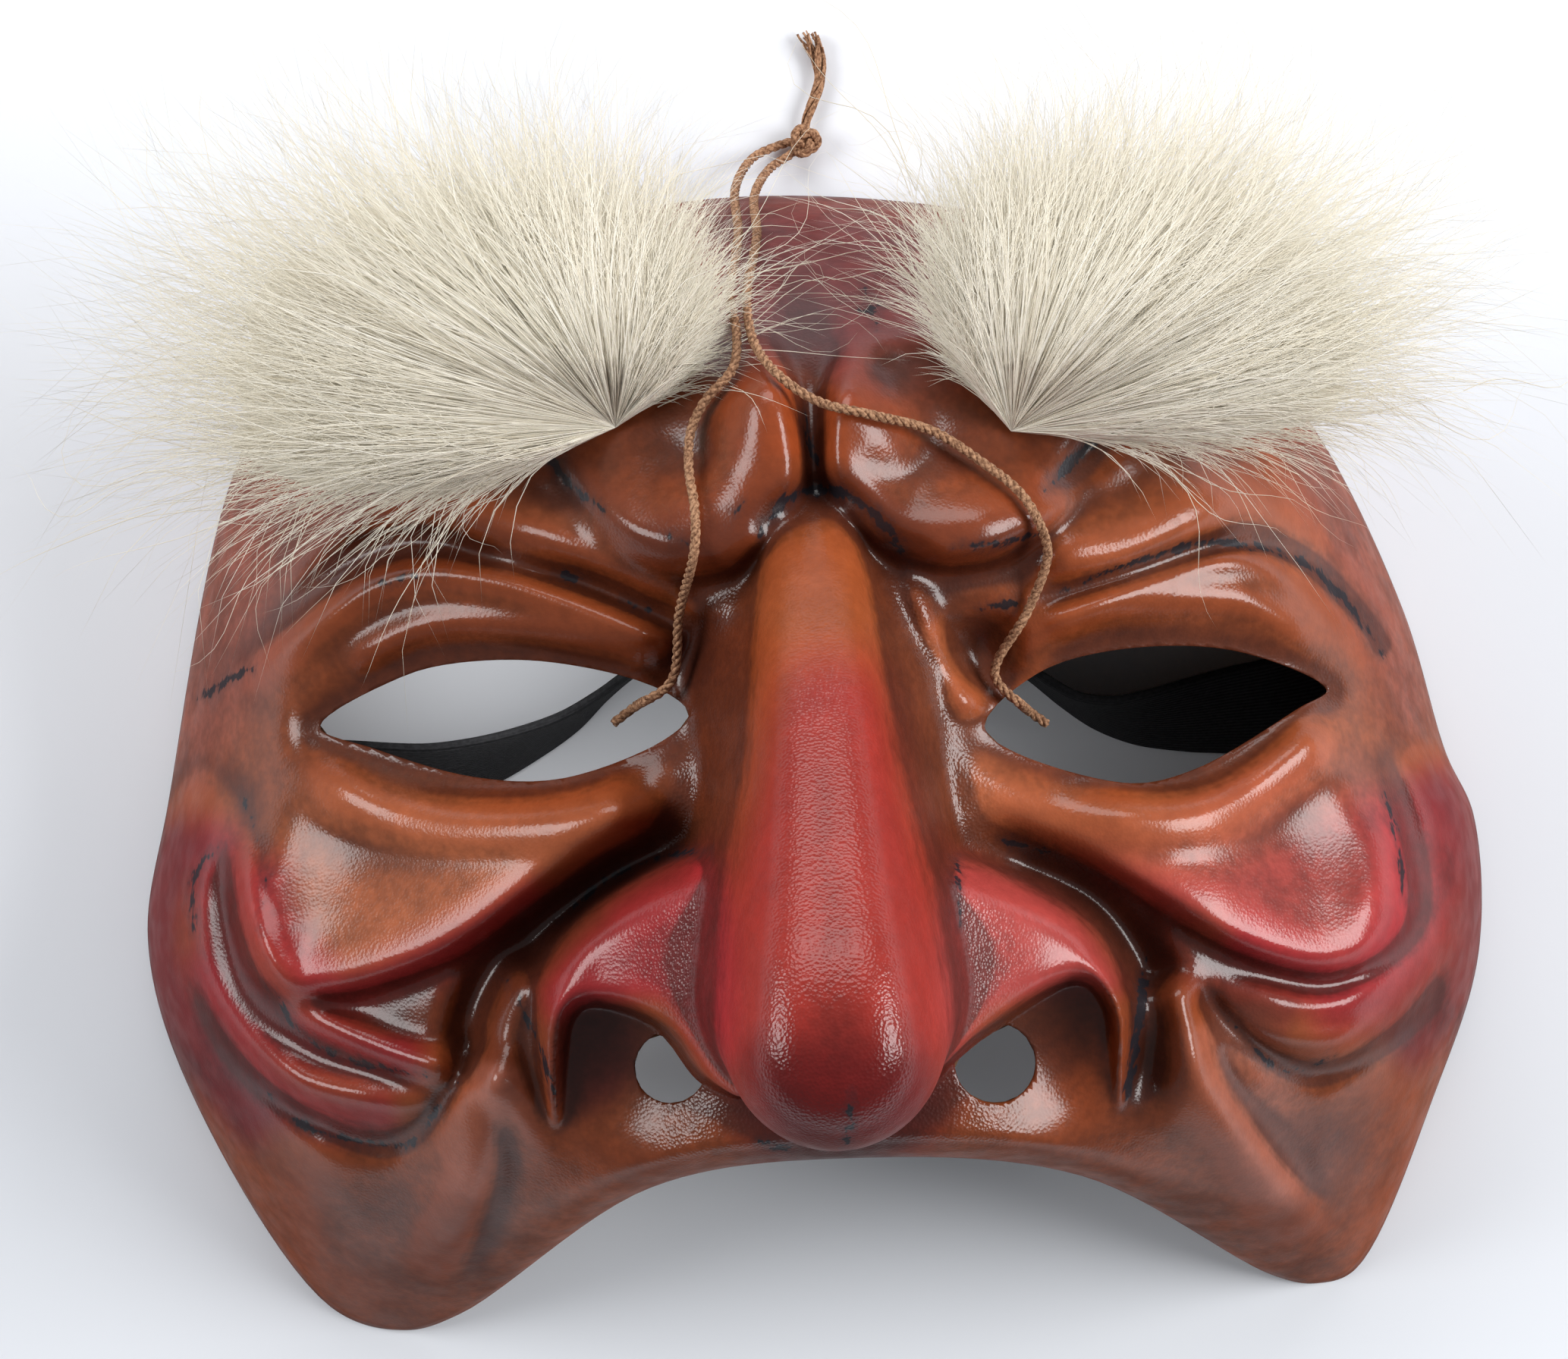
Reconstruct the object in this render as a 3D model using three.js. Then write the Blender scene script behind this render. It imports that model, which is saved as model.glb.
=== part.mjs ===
// A moulded leather half mask of an old man, lying face up on a table.
// Units are millimetres. X runs to the right, Y up over the forehead, and Z up from the table.
import * as THREE from 'three';

// Driving dimensions
const LEATHER = 2.4;                  // thickness of the leather
const FACE_TOP = 57;                  // height of the middle of the face over the table
const FACE_SPAN = 120;                // radius to which the face curves away to its sides
const FOREHEAD_START = 34;            // where the forehead begins to curve down
const FOREHEAD_CURVE = 0.020;
const JOWL_START = -42;               // where the lower face begins to curve down
const JOWL_CURVE = 0.024;
const NOSE_MIDDLE = -0.8;
const NOSE_TIP_START = -37;           // where the nose begins to round over to its tip
const NOSE_TIP_LENGTH = 16;
const NOSE_TOP = 26;                  // the nose dies out above this place
const NOSE_BLEND = 3.5;               // radius of the fillet between nose and face
const DROOP = 10;                     // how far the tip of the nose hangs over the lip
const WING_RISE = 8;                  // height of a nostril's wing at its outer end
const WING_RISE_AT_NOSE = 9;          // how much higher it is beside the nose
const SOCKET_DEPTH = 2.6;             // how far the lids sink to the edge of an eye hole
const SOCKET_WIDTH = 3.2;
const FUR_GAP = 1.0;                  // clearance between the leather and the fur
const FUR_DEPTH = 13;
const FUR_LOCKS = 11;
const FUR_LOCK_DEPTH = 2.6;
const FUR_SAG = [0.0014, 0.0036];      // how fast the fur's top and underside sink away from its tip
const STRAP_WIDTH = 20;
const STRAP_THICKNESS = 1.2;
const STRAP_GAP = 0.4;                // clearance between the strap and the table
const CORD_DIAMETER = 1.6;
const KNOT_SIZE = 4.2;
const CORD_GAP = 0.5;                 // clearance between the cord and what it lies on
const CORD_DIP = 8;                   // how far the cord's ends go down through the eye holes

// The outlines below are measured as seen from above the table, from this height over this place.
const VIEW_HEIGHT = 600;
const VIEW_PLACE = { x: -5.2, y: 0 };

// Fineness of the relief and of the faceted leather
const RELIEF_STEP = 0.8;
const FACETS_ACROSS = 44;
const FACETS_ALONG = 36;
const RELAX_ROUNDS = 80;
const RELAX_SHARE = 0.6;              // how far each round moves a facet's corner
const HOLE_SNAP = 0.66;               // corners nearer than this to a hole's edge move onto it
const PROBE = 0.05;                   // distance over which a slope is measured
const SOFTNESS = 4.8;                 // reach of the smoothing of the relief
const FUR_BED_SOFTNESS = 6;           // the same for the bed that the fur lies on

const LEFT = -1;
const RIGHT = 1;

// The rim, going round from the left temple: across, up, height over the table, width of the side wall
const RIM = [
  [-74.8, 30.4, 0, 20], [-85.4, -12, 0, 17], [-88.9, -30, 0, 16], [-84.4, -49.3, 0, 15],
  [-67.5, -78.3, 0, 12], [-58.2, -81.7, 1, 11], [-51, -80, 5, 9], [-25.5, -64.8, 37, 4],
  [0, -62.2, 47, 4], [30.2, -65.9, 34, 4], [54.5, -80, 3, 8], [60, -81.2, 0, 10],
  [65, -79.6, 0, 12], [76.5, -56.9, 0, 15], [82.8, -39.5, 0, 16], [83, -21.7, 0, 16],
  [79.8, -13.5, 0, 16], [75.2, 5, 0, 18], [66, 27, 0, 20], [57, 40, 0, 22], [44, 51, 0, 25],
  [28, 58, 0, 27], [-12, 62.5, 0, 27], [-52, 54, 0, 24], [-66, 43.5, 0, 22],
];
const CORNERS = { leftJowl: 5, rightJowl: 11, rightTemple: 19, leftTemple: 24 };

// Eye holes: out from the middle, up
const EYES = [
  { side: LEFT, around: [[65.4, -3.3], [54.4, 2.7], [47.4, 4.1], [35.5, 3.7], [21.5, -0.4],
    [17.7, -3.9], [20.6, -6.8], [34.3, -11.4], [45.8, -10.7], [58.6, -6.4]] },
  { side: RIGHT, around: [[20.4, -7.6], [27.3, -0.9], [37.9, 1.8], [53.4, 0.9], [64.8, -4.7],
    [61.3, -6.7], [47.2, -14.1], [38, -15.4]] },
];

// Nostril holes, cut off by the edge of the wing above them
const NOSTRILS = [
  { side: LEFT, out: 22.2, up: -49.4, radius: 4.6 },
  { side: RIGHT, out: 19.7, up: -50.8, radius: 5.2 },
];

// The nose from its root down: place, half width, height of its ridge, height of its flanks, their slope
const NOSE = [
  [26, 4.5, 55, 48, 1.2], [12, 7.3, 73, 61, 1.5], [-6, 9.6, 93, 70, 2.6],
  [-26, 13.7, 108, 81, 7], [-46, 15.2, 111, 89, 8], [-60, 14.5, 106, 90, 8],
];

// The wings of the nostrils: out, up, width of the rounded edge
const WINGS = [
  { side: LEFT, around: [[11, -19, 6], [15, -20.3, 3], [33.9, -29.6, 5], [39.2, -39, 5],
    [37.3, -56.5, 2.5], [35, -42.6, 2], [32.4, -40.6, 1.8], [23.3, -43.7, 1.8], [17.6, -51, 1.8],
    [12, -53, 2], [6, -40, 6]] },
  { side: RIGHT, around: [[9, -21, 6], [15.7, -23.2, 3], [33.5, -34.1, 5], [37.1, -44, 5],
    [35.2, -58, 2.5], [34.8, -44.5, 2], [31.2, -40.6, 1.8], [18.8, -46.2, 1.8], [9, -52, 2],
    [6, -40, 6]] },
];

// Moulded folds and creases. Each runs through a few points, out and up, and has a height, a width on
// its left and its right as it runs, a fullness, and the shares of its length over which its ends fade.
const FOLDS = [
  { name: 'brow lump', side: LEFT, height: 8, widths: [17, 3.2], fullness: 1.8, ends: [0.25, 0.35],
    through: [[9, 45], [5, 39], [3.4, 25], [12, 15.6], [27.8, 21.8], [36.5, 35]] },
  { name: 'brow lump', side: RIGHT, height: 7.5, widths: [15, 3.2], fullness: 1.8, ends: [0.25, 0.35],
    through: [[8, 43], [4.5, 38], [3.2, 25.5], [10.5, 17.2], [21.6, 15.9], [31.5, 22], [35, 29]] },
  { name: 'forehead furrow', side: RIGHT, height: 1.8, widths: [6, 4], fullness: 2, ends: [0.18, 0.18],
    through: [[2, 41], [12, 44], [24, 43], [36, 38]] },
  { name: 'forehead furrow', side: LEFT, height: 1.8, widths: [7, 5], fullness: 2, ends: [0.18, 0.18],
    through: [[2, 46], [14, 52], [30, 53], [48, 47]] },
  { name: 'outer brow crease', side: RIGHT, height: -2.6, widths: [3.5, 3.5], fullness: 1.4,
    ends: [0.18, 0.18], through: [[28.8, 20.5], [38.9, 31], [42, 36]] },
  { name: 'brow edge', side: LEFT, height: 3.4, widths: [9, 2.6], fullness: 2, ends: [0.1, 0.3],
    through: [[15, 8.5], [30.7, 16.3], [39.8, 17.9], [48.9, 23.2], [60, 23], [68, 17]] },
  { name: 'crease under the brow', side: LEFT, height: -3.2, widths: [4.5, 3], fullness: 2,
    ends: [0.1, 0.25], through: [[17, 6.5], [28, 12.7], [50, 19.8], [58, 18.5], [76, 6]] },
  { name: 'upper lid fold', side: LEFT, height: 3.4, widths: [2.2, 6], fullness: 1.6, ends: [0.06, 0.15],
    through: [[16, 4.5], [42.3, 15.3], [56.6, 15.5], [79, 0]] },
  { name: 'lid edge', side: LEFT, height: 1.8, widths: [3.5, 3], fullness: 1.6, ends: [0.18, 0.18],
    through: [[20.6, 3.4], [49.5, 9.4], [63, 4]] },
  { name: 'brow edge', side: RIGHT, height: 3.4, widths: [9, 4], fullness: 2, ends: [0.15, 0.3],
    through: [[26, 13.5], [40.3, 14.5], [56.2, 20.6], [68, 13]] },
  { name: 'crease under the brow', side: RIGHT, height: -2.8, widths: [3.2, 1.4], fullness: 1.3,
    ends: [0.2, 0.1], through: [[24, 6.5], [58.6, 14.1], [70.4, 3.2], [72.3, -1]] },
  { name: 'upper lid fold', side: RIGHT, height: 1.9, widths: [1.6, 4], fullness: 1.6, ends: [0.2, 0.15],
    through: [[24, 4.5], [55, 13.2], [69.5, 1]] },
  { name: 'lid edge', side: RIGHT, height: 1.6, widths: [3.5, 3.5], fullness: 1.8, ends: [0.18, 0.18],
    through: [[28, 4.5], [35, 7], [55.6, 7.4], [66, 0]] },
  { name: 'crease over the nose', side: RIGHT, height: -2.6, widths: [2.2, 2.2], fullness: 1.4,
    ends: [0.1, 0.15], through: [[-8, 18], [-4.5, 22.5], [3, 23.8], [10, 17.3], [16, 15]] },
  { name: 'crease under the lump', side: LEFT, height: -2.4, widths: [2.4, 2], fullness: 1.4,
    ends: [0.1, 0.2], through: [[7, 17.5], [12, 14.8], [27.8, 21], [36, 33]] },
  { name: 'bag under the eye', side: LEFT, height: 2.4, widths: [4.5, 6], fullness: 2, ends: [0.25, 0.2],
    through: [[24, -13.5], [29.7, -15.7], [55.6, -15.4], [70, -7]] },
  { name: 'bag under the eye', side: RIGHT, height: 2.6, widths: [4.5, 6.5], fullness: 2,
    ends: [0.25, 0.15], through: [[28, -17.5], [50, -19], [66, -8]] },
  { name: 'cheek pad', side: LEFT, height: 6.5, widths: [20, 3.2], fullness: 1.7, ends: [0.35, 0.2],
    through: [[20, -16.5], [26.6, -18.4], [55.2, -33.9], [71.2, -35], [77, -10]] },
  { name: 'cheek pad', side: RIGHT, height: 6.5, widths: [20, 3.2], fullness: 1.7, ends: [0.35, 0.2],
    through: [[20, -18.5], [40.1, -28], [52.6, -36.4], [64.1, -39.5], [72, -34.7], [70.5, -13]] },
  { name: 'second cheek fold', side: LEFT, height: 3.5, widths: [3.5, 3.2], fullness: 1.8,
    ends: [0.15, 0.2], through: [[50, -47.5], [53.2, -47.6], [70.9, -38.3], [76, -27], [77.5, -11]] },
  { name: 'second cheek fold', side: RIGHT, height: 3.5, widths: [3.5, 3.2], fullness: 1.8,
    ends: [0.15, 0.2], through: [[48, -42], [64, -45.5], [76.6, -36.2], [76.5, -17.5], [74, -11.5]] },
  { name: 'third cheek fold', side: LEFT, height: 4, widths: [3.6, 3.6], fullness: 1.8,
    ends: [0.15, 0.2], through: [[50, -54], [71.4, -48.2], [80.4, -37.9], [81.6, -24.2], [78, -12]] },
  { name: 'third cheek fold', side: RIGHT, height: 3.4, widths: [3.6, 3.2], fullness: 1.8,
    ends: [0.15, 0.2], through: [[50, -46.5], [64, -49.6], [77, -41], [82.3, -29], [78.2, -14.5]] },
  { name: 'outer bulge', side: LEFT, height: 5, widths: [5, 6], fullness: 2, ends: [0.25, 0.3],
    through: [[78, -8], [83, -16], [86.5, -32], [81, -48]] },
  { name: 'outer bulge', side: RIGHT, height: 4, widths: [4, 6], fullness: 2, ends: [0.25, 0.3],
    through: [[74, -6], [82.3, -24], [81, -40], [78, -48]] },
  { name: 'smile crease', side: LEFT, height: -3, widths: [2.6, 3], fullness: 1.4, ends: [0.1, 0.15],
    through: [[47, -43], [49.6, -49], [58.2, -57.4], [70.3, -53.4], [80.7, -40.7], [84, -32]] },
  { name: 'smile crease', side: RIGHT, height: -2.6, widths: [2.6, 3], fullness: 1.4, ends: [0.1, 0.15],
    through: [[46, -42], [50.2, -47.4], [60.8, -54.2], [73.4, -47.9], [82, -34]] },
  { name: 'valley beside the nose', side: LEFT, height: -6, widths: [6.5, 6], fullness: 1.7,
    ends: [0.15, 0.2], through: [[15, -18.5], [30, -25.2], [44, -37.5], [48.5, -52]] },
  { name: 'valley beside the nose', side: RIGHT, height: -6, widths: [6.5, 4.5], fullness: 1.7,
    ends: [0.15, 0.2], through: [[15, -21], [34.5, -31.5], [40.3, -44], [37, -60]] },
  { name: 'roll beside the wing', side: LEFT, height: 5, widths: [4.2, 4.2], fullness: 2,
    ends: [0.2, 0.35], through: [[39, -33.5], [44.8, -44.7], [38, -63]] },
  { name: 'jowl edge', side: LEFT, height: 4.5, widths: [10, 4.5], fullness: 1.8, ends: [0.2, 0.3],
    through: [[46, -44], [48.4, -62.7], [56, -78]] },
  { name: 'jowl edge', side: RIGHT, height: 6, widths: [4.5, 13], fullness: 1.6, ends: [0.15, 0.2],
    through: [[42.3, -39], [46.2, -54.2], [62, -77.5]] },
  { name: 'ridge to the eye', side: RIGHT, height: 2.6, widths: [3, 3], fullness: 1.6, ends: [0.25, 0.2],
    through: [[9, 17], [17, -1.3], [20, -6]] },
  { name: 'ridge to the eye', side: LEFT, height: 2, widths: [3, 3], fullness: 1.6, ends: [0.25, 0.2],
    through: [[10, 16], [14.6, 3], [16, -3]] },
];

// Round swellings and hollows: middle, out and up, its half sizes, height and turn in degrees
const SWELLINGS = [
  { name: 'top of the brow lump', side: LEFT, at: [9, 30], size: [6, 10], height: 1.8, turn: 10 },
  { name: 'foot of the brow lump', side: LEFT, at: [14, 23], size: [9, 7], height: 1.6, turn: 0 },
  { name: 'top of the brow lump', side: RIGHT, at: [10, 31], size: [6, 6], height: 1.6, turn: 0 },
  { name: 'foot of the brow lump', side: RIGHT, at: [20, 21], size: [10, 6], height: 1.4, turn: 0 },
  { name: 'dip in the forehead', side: RIGHT, at: [0, 44], size: [7, 10], height: -2.2, turn: 0 },
  { name: 'hollow of the eye corner', side: LEFT, at: [17, 3], size: [8, 7.5], height: -5, turn: 0 },
  { name: 'hollow of the eye corner', side: RIGHT, at: [20, 2], size: [8, 8], height: -5, turn: 0 },
  { name: 'scoop of the jowl', side: RIGHT, at: [62, -62], size: [13, 12], height: -3.5, turn: -40 },
  { name: 'scoop of the jowl', side: LEFT, at: [60, -64], size: [10, 14], height: -2, turn: 30 },
  { name: 'hollow of the nostril', side: LEFT, at: [26, -50], size: [12, 12], height: -2.5, turn: 0 },
  { name: 'hollow of the nostril', side: RIGHT, at: [26, -50], size: [12, 12], height: -2.5, turn: 0 },
];

// Fur brows: the tip where each is glued down, and how far the hair reaches at angles about that tip
const FURS = [
  { name: 'brow_fur_left', tip: [-25.4, 33.6],
    reach: [[40, 9], [55, 26], [80, 38], [115, 49], [145, 67], [168, 73], [183, 66], [194, 40]] },
  { name: 'brow_fur_right', tip: [25.7, 30.7],
    reach: [[-6, 36], [5, 67], [20, 68], [45, 60], [70, 48], [95, 40], [113, 29], [124, 11]] },
];
const FUR_ACROSS = 30;
const FUR_ALONG = 6;

// The slack elastic strap, which lies on the table from temple to temple under the face: across, up,
// how far it is turned on its edge, in degrees, and how far it is lifted off the table
const STRAP = [
  [-79, -11.5, 18, 0], [-73, -11.2, 34, 0], [-67, -10.6, 52, 0], [-60, -10, 63, 0],
  [-51.4, -10, 68, 0], [-45.5, -9, 72, 0], [-39.5, -7, 78, 0], [-33.4, -4.2, 84, 0],
  [-28.6, -0.8, 89, 0], [-24, 2.3, 90, 0], [-14, 6.6, 90, 0], [0, 8.6, 90, 0], [14, 6.8, 90, 0],
  [22, 2.8, 90, 0], [27.4, -1.2, 89, 0], [31.7, -4.4, 86, 0], [36, -6.3, 79, 0],
  [41, -7.1, 70, 0], [47, -7, 62, 0], [52, -6.7, 57, 0], [59, -6.4, 50, 0], [66, -6, 36, 0],
  [72, -6, 18, 0],
];

// The hanging cord: two strands out of the inner corners of the eye holes, which meet over the nose and
// run side by side over the forehead to a knot on the table
const CORD_LEFT = [
  [-27.5, -4.6], [-24.6, -2.6], [-19.8, 0.4], [-18.3, 9.3], [-16, 17.2], [-15.7, 22.7],
  [-16.2, 27.7], [-15.7, 32.7], [-13.6, 36.6], [-9.9, 40.5], [-9.2, 45], [-9.9, 50],
  [-8.4, 57.6], [-8.5, 63.7], [-6.2, 67.4], [-2.6, 69],
];
const CORD_RIGHT = [
  [28.5, -7.4], [25.6, -5], [22, -0.6], [26.6, 7.2], [29.4, 13.6], [29.5, 16.1], [26.8, 22.2],
  [21.5, 27], [15.2, 31.3], [7.8, 33.6], [0.9, 35.7], [-3.9, 39.2], [-6.9, 43.4], [-7.7, 49.6],
  [-6, 57.6], [-6.1, 62.6], [-4.2, 65.8], [-1.4, 67.2],
];
const KNOT = [0.8, 69.4];

// Finishes
const finish = (color, roughness) => new THREE.MeshStandardMaterial({ color, roughness, metalness: 0 });
const LEATHER_FINISH = finish(0xa4502f, 0.42);
const FUR_FINISH = finish(0xe9dfc4, 0.95);
const ELASTIC_FINISH = finish(0x17171a, 0.85);
const STRING_FINISH = finish(0x8a5a35, 0.9);

function clamp(value) {
  return Math.min(1, Math.max(0, value));
}

function ease(value) {
  const t = clamp(value);
  return t * t * (3 - 2 * t);
}

// Rises like a quarter of a circle from 0 to 1
function quarterRound(value) {
  return Math.sqrt(1 - (1 - clamp(value)) ** 2);
}

function mix(a, b, t) {
  return a + (b - a) * t;
}

// A smooth curve through points that have two places and any further values
function curveThrough(points, closed, steps = 10) {
  const count = points.length;
  const at = (i) => {
    if (closed) return points[(i + count) % count];
    if (i < 0) return points[0].map((value, k) => 2 * value - points[1][k]);
    if (i >= count) return points[count - 1].map((value, k) => 2 * value - points[count - 2][k]);
    return points[i];
  };
  const pace = (p, q) => Math.sqrt(Math.max(Math.hypot(q[0] - p[0], q[1] - p[1]), 1e-6));
  const line = [];
  for (let i = 0; i < (closed ? count : count - 1); i += 1) {
    const [p, q, r, s] = [at(i - 1), at(i), at(i + 1), at(i + 2)];
    const [before, here, after] = [pace(p, q), pace(q, r), pace(r, s)];
    for (let k = 0; k < steps; k += 1) {
      const t = k / steps;
      line.push(q.map((value, c) => {
        const [into, over, out] = [value - p[c], r[c] - value, s[c] - r[c]];
        const leave = (into / before - (into + over) / (before + here) + over / here) * here;
        const arrive = (over / here - (over + out) / (here + after) + out / after) * here;
        const square = -3 * q[c] + 3 * r[c] - 2 * leave - arrive;
        return value + leave * t + square * t * t + (2 * q[c] - 2 * r[c] + leave + arrive) * t ** 3;
      }));
    }
  }
  if (!closed) line.push(points[count - 1]);
  return line;
}

// The nearest place on a line: distance, positive on its left or inside it, and its share of the length
function nearest(line, x, y, closed) {
  const last = closed ? line.length : line.length - 1;
  let best = Infinity;
  let turn = 1;
  let share = 0;
  let inside = false;
  for (let i = 0; i < last; i += 1) {
    const p = line[i];
    const q = line[(i + 1) % line.length];
    const [sx, sy, dx, dy] = [q[0] - p[0], q[1] - p[1], x - p[0], y - p[1]];
    const t = clamp((dx * sx + dy * sy) / Math.max(sx * sx + sy * sy, 1e-9));
    const away = Math.hypot(dx - t * sx, dy - t * sy);
    if (away < best) {
      best = away;
      turn = sx * dy - sy * dx >= 0 ? 1 : -1;
      share = (i + t) / last;
    }
    if (closed && (p[1] > y) !== (q[1] > y) && x < p[0] + (sx * (y - p[1])) / sy) inside = !inside;
  }
  if (closed) turn = inside ? 1 : -1;
  return { distance: best * turn, share };
}

// A value that a closed line carries, at a share of the way round it
function carried(line, share, column) {
  const place = share * line.length;
  const i = Math.floor(place) % line.length;
  return mix(line[i][column], line[(i + 1) % line.length][column], place - Math.floor(place));
}

function boxOf(line, margin) {
  const xs = line.map((point) => point[0]);
  const ys = line.map((point) => point[1]);
  return [Math.min(...xs) - margin, Math.max(...xs) + margin, Math.min(...ys) - margin,
    Math.max(...ys) + margin];
}

// A height over every place of the face, on a regular grid
class Relief {
  constructor() {
    this.low = [-106, -92];
    this.size = [Math.ceil(210 / RELIEF_STEP), Math.ceil(180 / RELIEF_STEP)];
    this.heights = new Float64Array(this.size[0] * this.size[1]);
  }

  each(change, box = null, side = 1) {
    for (let i = 0; i < this.size[0]; i += 1) {
      const across = (this.low[0] + i * RELIEF_STEP) * side;
      if (box && (across < box[0] || across > box[1])) continue;
      for (let j = 0; j < this.size[1]; j += 1) {
        const up = this.low[1] + j * RELIEF_STEP;
        if (box && (up < box[2] || up > box[3])) continue;
        const k = i * this.size[1] + j;
        this.heights[k] = change(across, up, this.heights[k], i, j);
      }
    }
  }

  cell(i, j) {
    const u = Math.min(this.size[0] - 1, Math.max(0, i));
    const v = Math.min(this.size[1] - 1, Math.max(0, j));
    return this.heights[u * this.size[1] + v];
  }

  at(across, up) {
    const x = (across - this.low[0]) / RELIEF_STEP;
    const y = (up - this.low[1]) / RELIEF_STEP;
    const [i, j] = [Math.floor(x), Math.floor(y)];
    const near = mix(this.cell(i, j), this.cell(i, j + 1), y - j);
    const far = mix(this.cell(i + 1, j), this.cell(i + 1, j + 1), y - j);
    return mix(near, far, x - i);
  }

  // The same relief with each height worked out from those around it
  around(radius, weigh) {
    const result = new Relief();
    const cells = Math.ceil(radius / RELIEF_STEP);
    result.each((across, up, height, i, j) => weigh((visit) => {
      for (let u = -cells; u <= cells; u += 1) {
        for (let v = -cells; v <= cells; v += 1) {
          const away = Math.hypot(u, v) * RELIEF_STEP;
          if (away <= radius) visit(this.cell(i + u, j + v), away);
        }
      }
    }));
    return result;
  }

  softened(radius) {
    return this.around(radius, (walk) => {
      let [sum, weight] = [0, 0];
      walk((height, away) => {
        const share = Math.exp(-4 * (away / radius) ** 2);
        sum += height * share;
        weight += share;
      });
      return sum / weight;
    });
  }

  // The surface that lies a thickness below this one
  inset(thickness) {
    return this.around(thickness, (walk) => {
      let lowest = Infinity;
      walk((height, away) => {
        lowest = Math.min(lowest, height - Math.sqrt(thickness ** 2 - away ** 2));
      });
      return lowest;
    });
  }
}

function addFold(relief, { side, height, widths, fullness, ends, through }) {
  const line = curveThrough(through, false);
  relief.each((out, up, before) => {
    const { distance, share } = nearest(line, out, up, false);
    const reach = distance > 0 ? distance / widths[0] : -distance / widths[1];
    const fade = ease(share / ends[0]) * ease((1 - share) / ends[1]);
    return before + height * fade * (1 - clamp(reach) ** fullness) ** 2;
  }, boxOf(line, Math.max(...widths)), side);
}

function addSwelling(relief, { side, at, size, height, turn }) {
  const angle = THREE.MathUtils.degToRad(turn);
  relief.each((out, up, before) => {
    const [dx, dy] = [out - at[0], up - at[1]];
    const x = (dx * Math.cos(angle) + dy * Math.sin(angle)) / size[0];
    const y = (dy * Math.cos(angle) - dx * Math.sin(angle)) / size[1];
    return before + height * (1 - Math.min(1, x * x + y * y)) ** 2;
  }, null, side);
}

function addWing(relief, { side, around }) {
  const line = curveThrough(around, true);
  relief.each((out, up, before) => {
    const { distance, share } = nearest(line, out, up, true);
    const rise = WING_RISE + WING_RISE_AT_NOSE * ease((32 - out) / 24);
    return before + rise * quarterRound(Math.max(distance, 0) / carried(line, share, 2));
  }, boxOf(line, 1), side);
}

// Height of the nose over a place, which falls away fast beside it
function noseHeight(stations, across, up) {
  if (up > NOSE_TOP) return -Infinity;
  let i = 0;
  while (i < stations.length - 2 && stations[i + 1][0] > up) i += 1;
  const t = clamp((up - stations[i][0]) / (stations[i + 1][0] - stations[i][0]));
  const [half, ridge, flank, slope] = [1, 2, 3, 4].map((k) => mix(stations[i][k], stations[i + 1][k], t));
  const past = Math.max(NOSE_TIP_START - up, 0) / NOSE_TIP_LENGTH;
  const reach = Math.hypot((across - NOSE_MIDDLE) / half, past);
  const rounded = Math.sqrt(1 - clamp(reach) ** 2.5);
  return flank + (ridge - flank) * rounded - slope * Math.max(reach - 1, 0) * half;
}

// The greater of two heights, with a fillet where they meet
function blendMax(a, b, radius) {
  const t = clamp(0.5 + (0.5 * (a - b)) / radius);
  return mix(b, a, t) + radius * t * (1 - t);
}

// The moulded face without its side walls
function faceRelief() {
  const relief = new Relief();
  relief.each((across, up) => {
    const side = FACE_TOP - across ** 2 / (2 * FACE_SPAN);
    const forehead = FOREHEAD_CURVE * Math.max(up - FOREHEAD_START, 0) ** 2;
    const jowls = JOWL_CURVE * Math.max(JOWL_START - up, 0) ** 2 * ease((Math.abs(across) - 12) / 36);
    return side - forehead - jowls;
  });
  FOLDS.forEach((fold) => addFold(relief, fold));
  SWELLINGS.forEach((swelling) => addSwelling(relief, swelling));
  for (const { side, around } of EYES) {
    const line = curveThrough(around, true);
    relief.each((out, up, before) => {
      const away = Math.max(-nearest(line, out, up, true).distance, 0) / SOCKET_WIDTH;
      return before - SOCKET_DEPTH * Math.exp(-(away ** 2));
    }, boxOf(line, 3 * SOCKET_WIDTH), side);
  }
  WINGS.forEach((wing) => addWing(relief, wing));
  const stations = curveThrough(NOSE, false);
  relief.each((across, up, before) => {
    const nose = noseHeight(stations, across, up);
    return nose > before - NOSE_BLEND ? blendMax(nose, before, NOSE_BLEND) : before;
  });
  return relief.softened(SOFTNESS);
}

// From a place on the outlines and its height to its true place
function place(across, up, height) {
  const hang = DROOP * ease((height - FACE_TOP) / 50) * ease((14 - up) / 35);
  const nearer = 1 - height / VIEW_HEIGHT;
  return new THREE.Vector3(VIEW_PLACE.x + (across - VIEW_PLACE.x) * nearer,
    VIEW_PLACE.y + (up - hang - VIEW_PLACE.y) * nearer, height);
}

const face = faceRelief();
const lining = face.inset(LEATHER);
const furBed = face.softened(FUR_BED_SOFTNESS);
const rim = curveThrough(RIM, true, 12);
const rimCoarse = curveThrough(RIM, true, 5);
const wings = WINGS.map(({ side, around }) => ({ side, line: curveThrough(around, true) }));
const eyes = EYES.map(({ side, around }) => ({ side, line: curveThrough(around, true) }));

// Height of the rim nearest to a place, and width of the wall there, blended from all round the rim
function wallAt(across, up) {
  let [width, weight] = [0, 0];
  for (const point of rim) {
    const share = 1 / (1 + (across - point[0]) ** 2 + (up - point[1]) ** 2) ** 2;
    width += point[3] * share;
    weight += share;
  }
  const { share } = nearest(rim, across, up, true);
  return { height: Math.max(0, carried(rim, share, 2)), width: width / weight };
}

// Height of the leather's outside, and of its inside, at a distance in from the rim
function outside(across, up, depth) {
  const wall = wallAt(across, up);
  return wall.height + (face.at(across, up) - wall.height) * quarterRound(depth / wall.width);
}

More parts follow.
